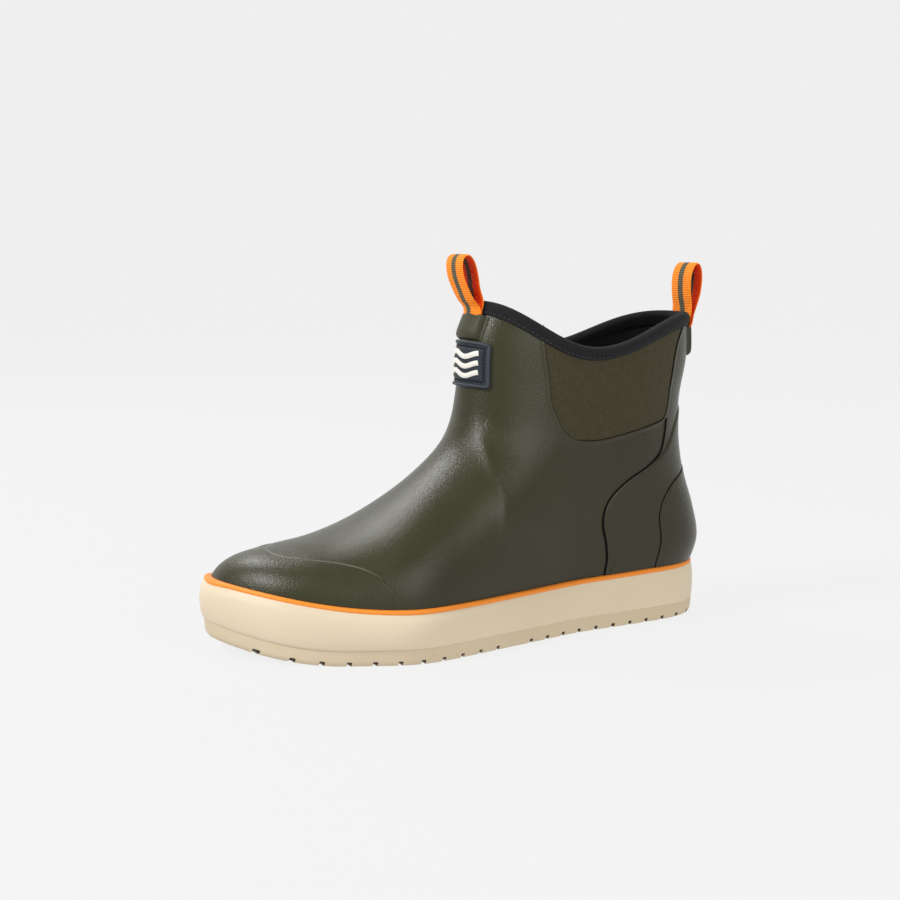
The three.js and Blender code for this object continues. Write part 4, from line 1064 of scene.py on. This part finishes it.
over, under = cover_face(COVER_FOOT + COVER_THICKNESS), cover_face(COVER_FOOT)
rings = np.concatenate([over, under[:, ::-1]], 1)
piece("footbed_cloth", rings, cover_cloth, replaces=["footbed_cover"],
      marks={"across": rings[..., 1], "up": rings[..., 0]}, creases=50)


def foam(name, colour, cells):
    """Closed-cell foam: small dark cells in a paler wall."""
    f = Finish(name)
    cell = f.node("ShaderNodeTexVoronoi", {"feature": "F1"}, {"Vector": f.place(), "Scale": cells})
    f.set(Base_Color=f.mix(cell.between(0.1, 0.7), tuple(0.6 * c for c in colour), colour),
          Roughness=0.9 - 0.1 * cell)
    f.bump(cell, 0.0004, 0.5)
    return f.material


kept = {"midsole": foam("midsole_foam", (0.45, 0.43, 0.38), 900),
        "footbed": foam("footbed_foam", (0.05, 0.055, 0.065), 800),
        "heel_pad": rubber("heel_gel", (0.05, 0.15, 0.25), (0.06, 0.18, 0.30), 0.0001, 0.3),
        "insole_board": foam("board_fibre", (0.26, 0.17, 0.09), 1500)}
for node, finish in kept.items():
    mesh = frame["nodes"][node].data
    mesh.materials.clear()
    mesh.materials.append(finish)

# %% [markdown]
# ## Studio
# A pale sweep, three soft lights and a bright room all round. The key stands ahead of the toe and lights
# the toe and the shin, the second stands behind the boot on its inner side, and the largest fills in from
# the outer side. The sweep gives off most of its own brightness, so only a faint shadow lies under the
# sole.

# %% Sweep, lights and room
scene = bpy.context.scene
scene.view_settings.view_transform = "Standard"
scene.view_settings.look = "None"


def sweep():
    """Floor and wall in one sheet: level, a quarter circle of large radius, then upright."""
    radius, depth, height, half = 2.5, 3.5, 6.0, 9.0
    angle = np.linspace(0, np.pi / 2, 24)
    bend = np.stack([depth + radius * np.sin(angle), radius - radius * np.cos(angle)], -1)
    profile = np.vstack([[(-8.0, 0.0)], bend, [(depth + radius, height)]])
    left = np.column_stack([np.full(len(profile), -half), profile])
    right = np.column_stack([np.full(len(profile), half), profile])
    points = np.vstack([left, right])
    n = len(profile)
    faces = [[k, k + n, k + 1 + n, k + 1] for k in range(n - 1)]
    mesh = bpy.data.meshes.new("sweep")
    mesh.from_pydata(points, [], faces)
    mesh.shade_smooth()
    made = bpy.data.objects.new("sweep", mesh)
    made.rotation_euler[2] = -math.radians(28.1)        # its wall faces the camera
    scene.collection.objects.link(made)
    return made


paper = Finish("sweep_paper", Roughness=1.0, Specular_IOR_Level=0.0)
paper.set(Base_Color=(0.05, 0.05, 0.05), Emission_Color=(0.835, 0.835, 0.835), Emission_Strength=1.0)
sweep().data.materials.append(paper.material)

world = bpy.data.worlds.new("room")
world.use_nodes = True
world.node_tree.nodes["Background"].inputs["Color"].default_value = (1, 1, 1, 1)
world.node_tree.nodes["Background"].inputs["Strength"].default_value = 0.42
scene.world = world


LIGHTS_AIM = Vector((0, 0, 0.08))


def softbox(name, place, size, power):
    """A rectangular light of that size in metres, turned towards the middle of the boot."""
    light = bpy.data.lights.new(name, "AREA")
    light.shape, light.size, light.size_y, light.energy = "RECTANGLE", size[0], size[1], power
    made = bpy.data.objects.new(name, light)
    made.location = place
    made.rotation_euler = (LIGHTS_AIM - Vector(place)).to_track_quat("-Z", "Y").to_euler()
    scene.collection.objects.link(made)


softbox("key", (-1.5, 0.0, 1.35), (0.45, 0.7), 29)
softbox("back", (-0.3, 1.3, 1.5), (0.5, 0.45), 13)
softbox("fill", (0.2, -2.2, 1.2), (1.8, 1.8), 26)

# %% [markdown]
# ## Camera
# A long lens about 0.9 m away, a little above the collar's height and off the outer toe.

# %% The camera, and the closing lines
camera = bpy.data.cameras.new("camera")
camera.sensor_width, camera.lens = 36, 66.75
camera_object = bpy.data.objects.new("camera", camera)
camera_object.location = (-0.4383, -0.8024, 0.2142)
view_direction = Vector((-0.0099, 0, 0.101)) - camera_object.location
camera_object.rotation_euler = view_direction.to_track_quat("-Z", "Y").to_euler()
scene.collection.objects.link(camera_object)
scene.camera = camera_object
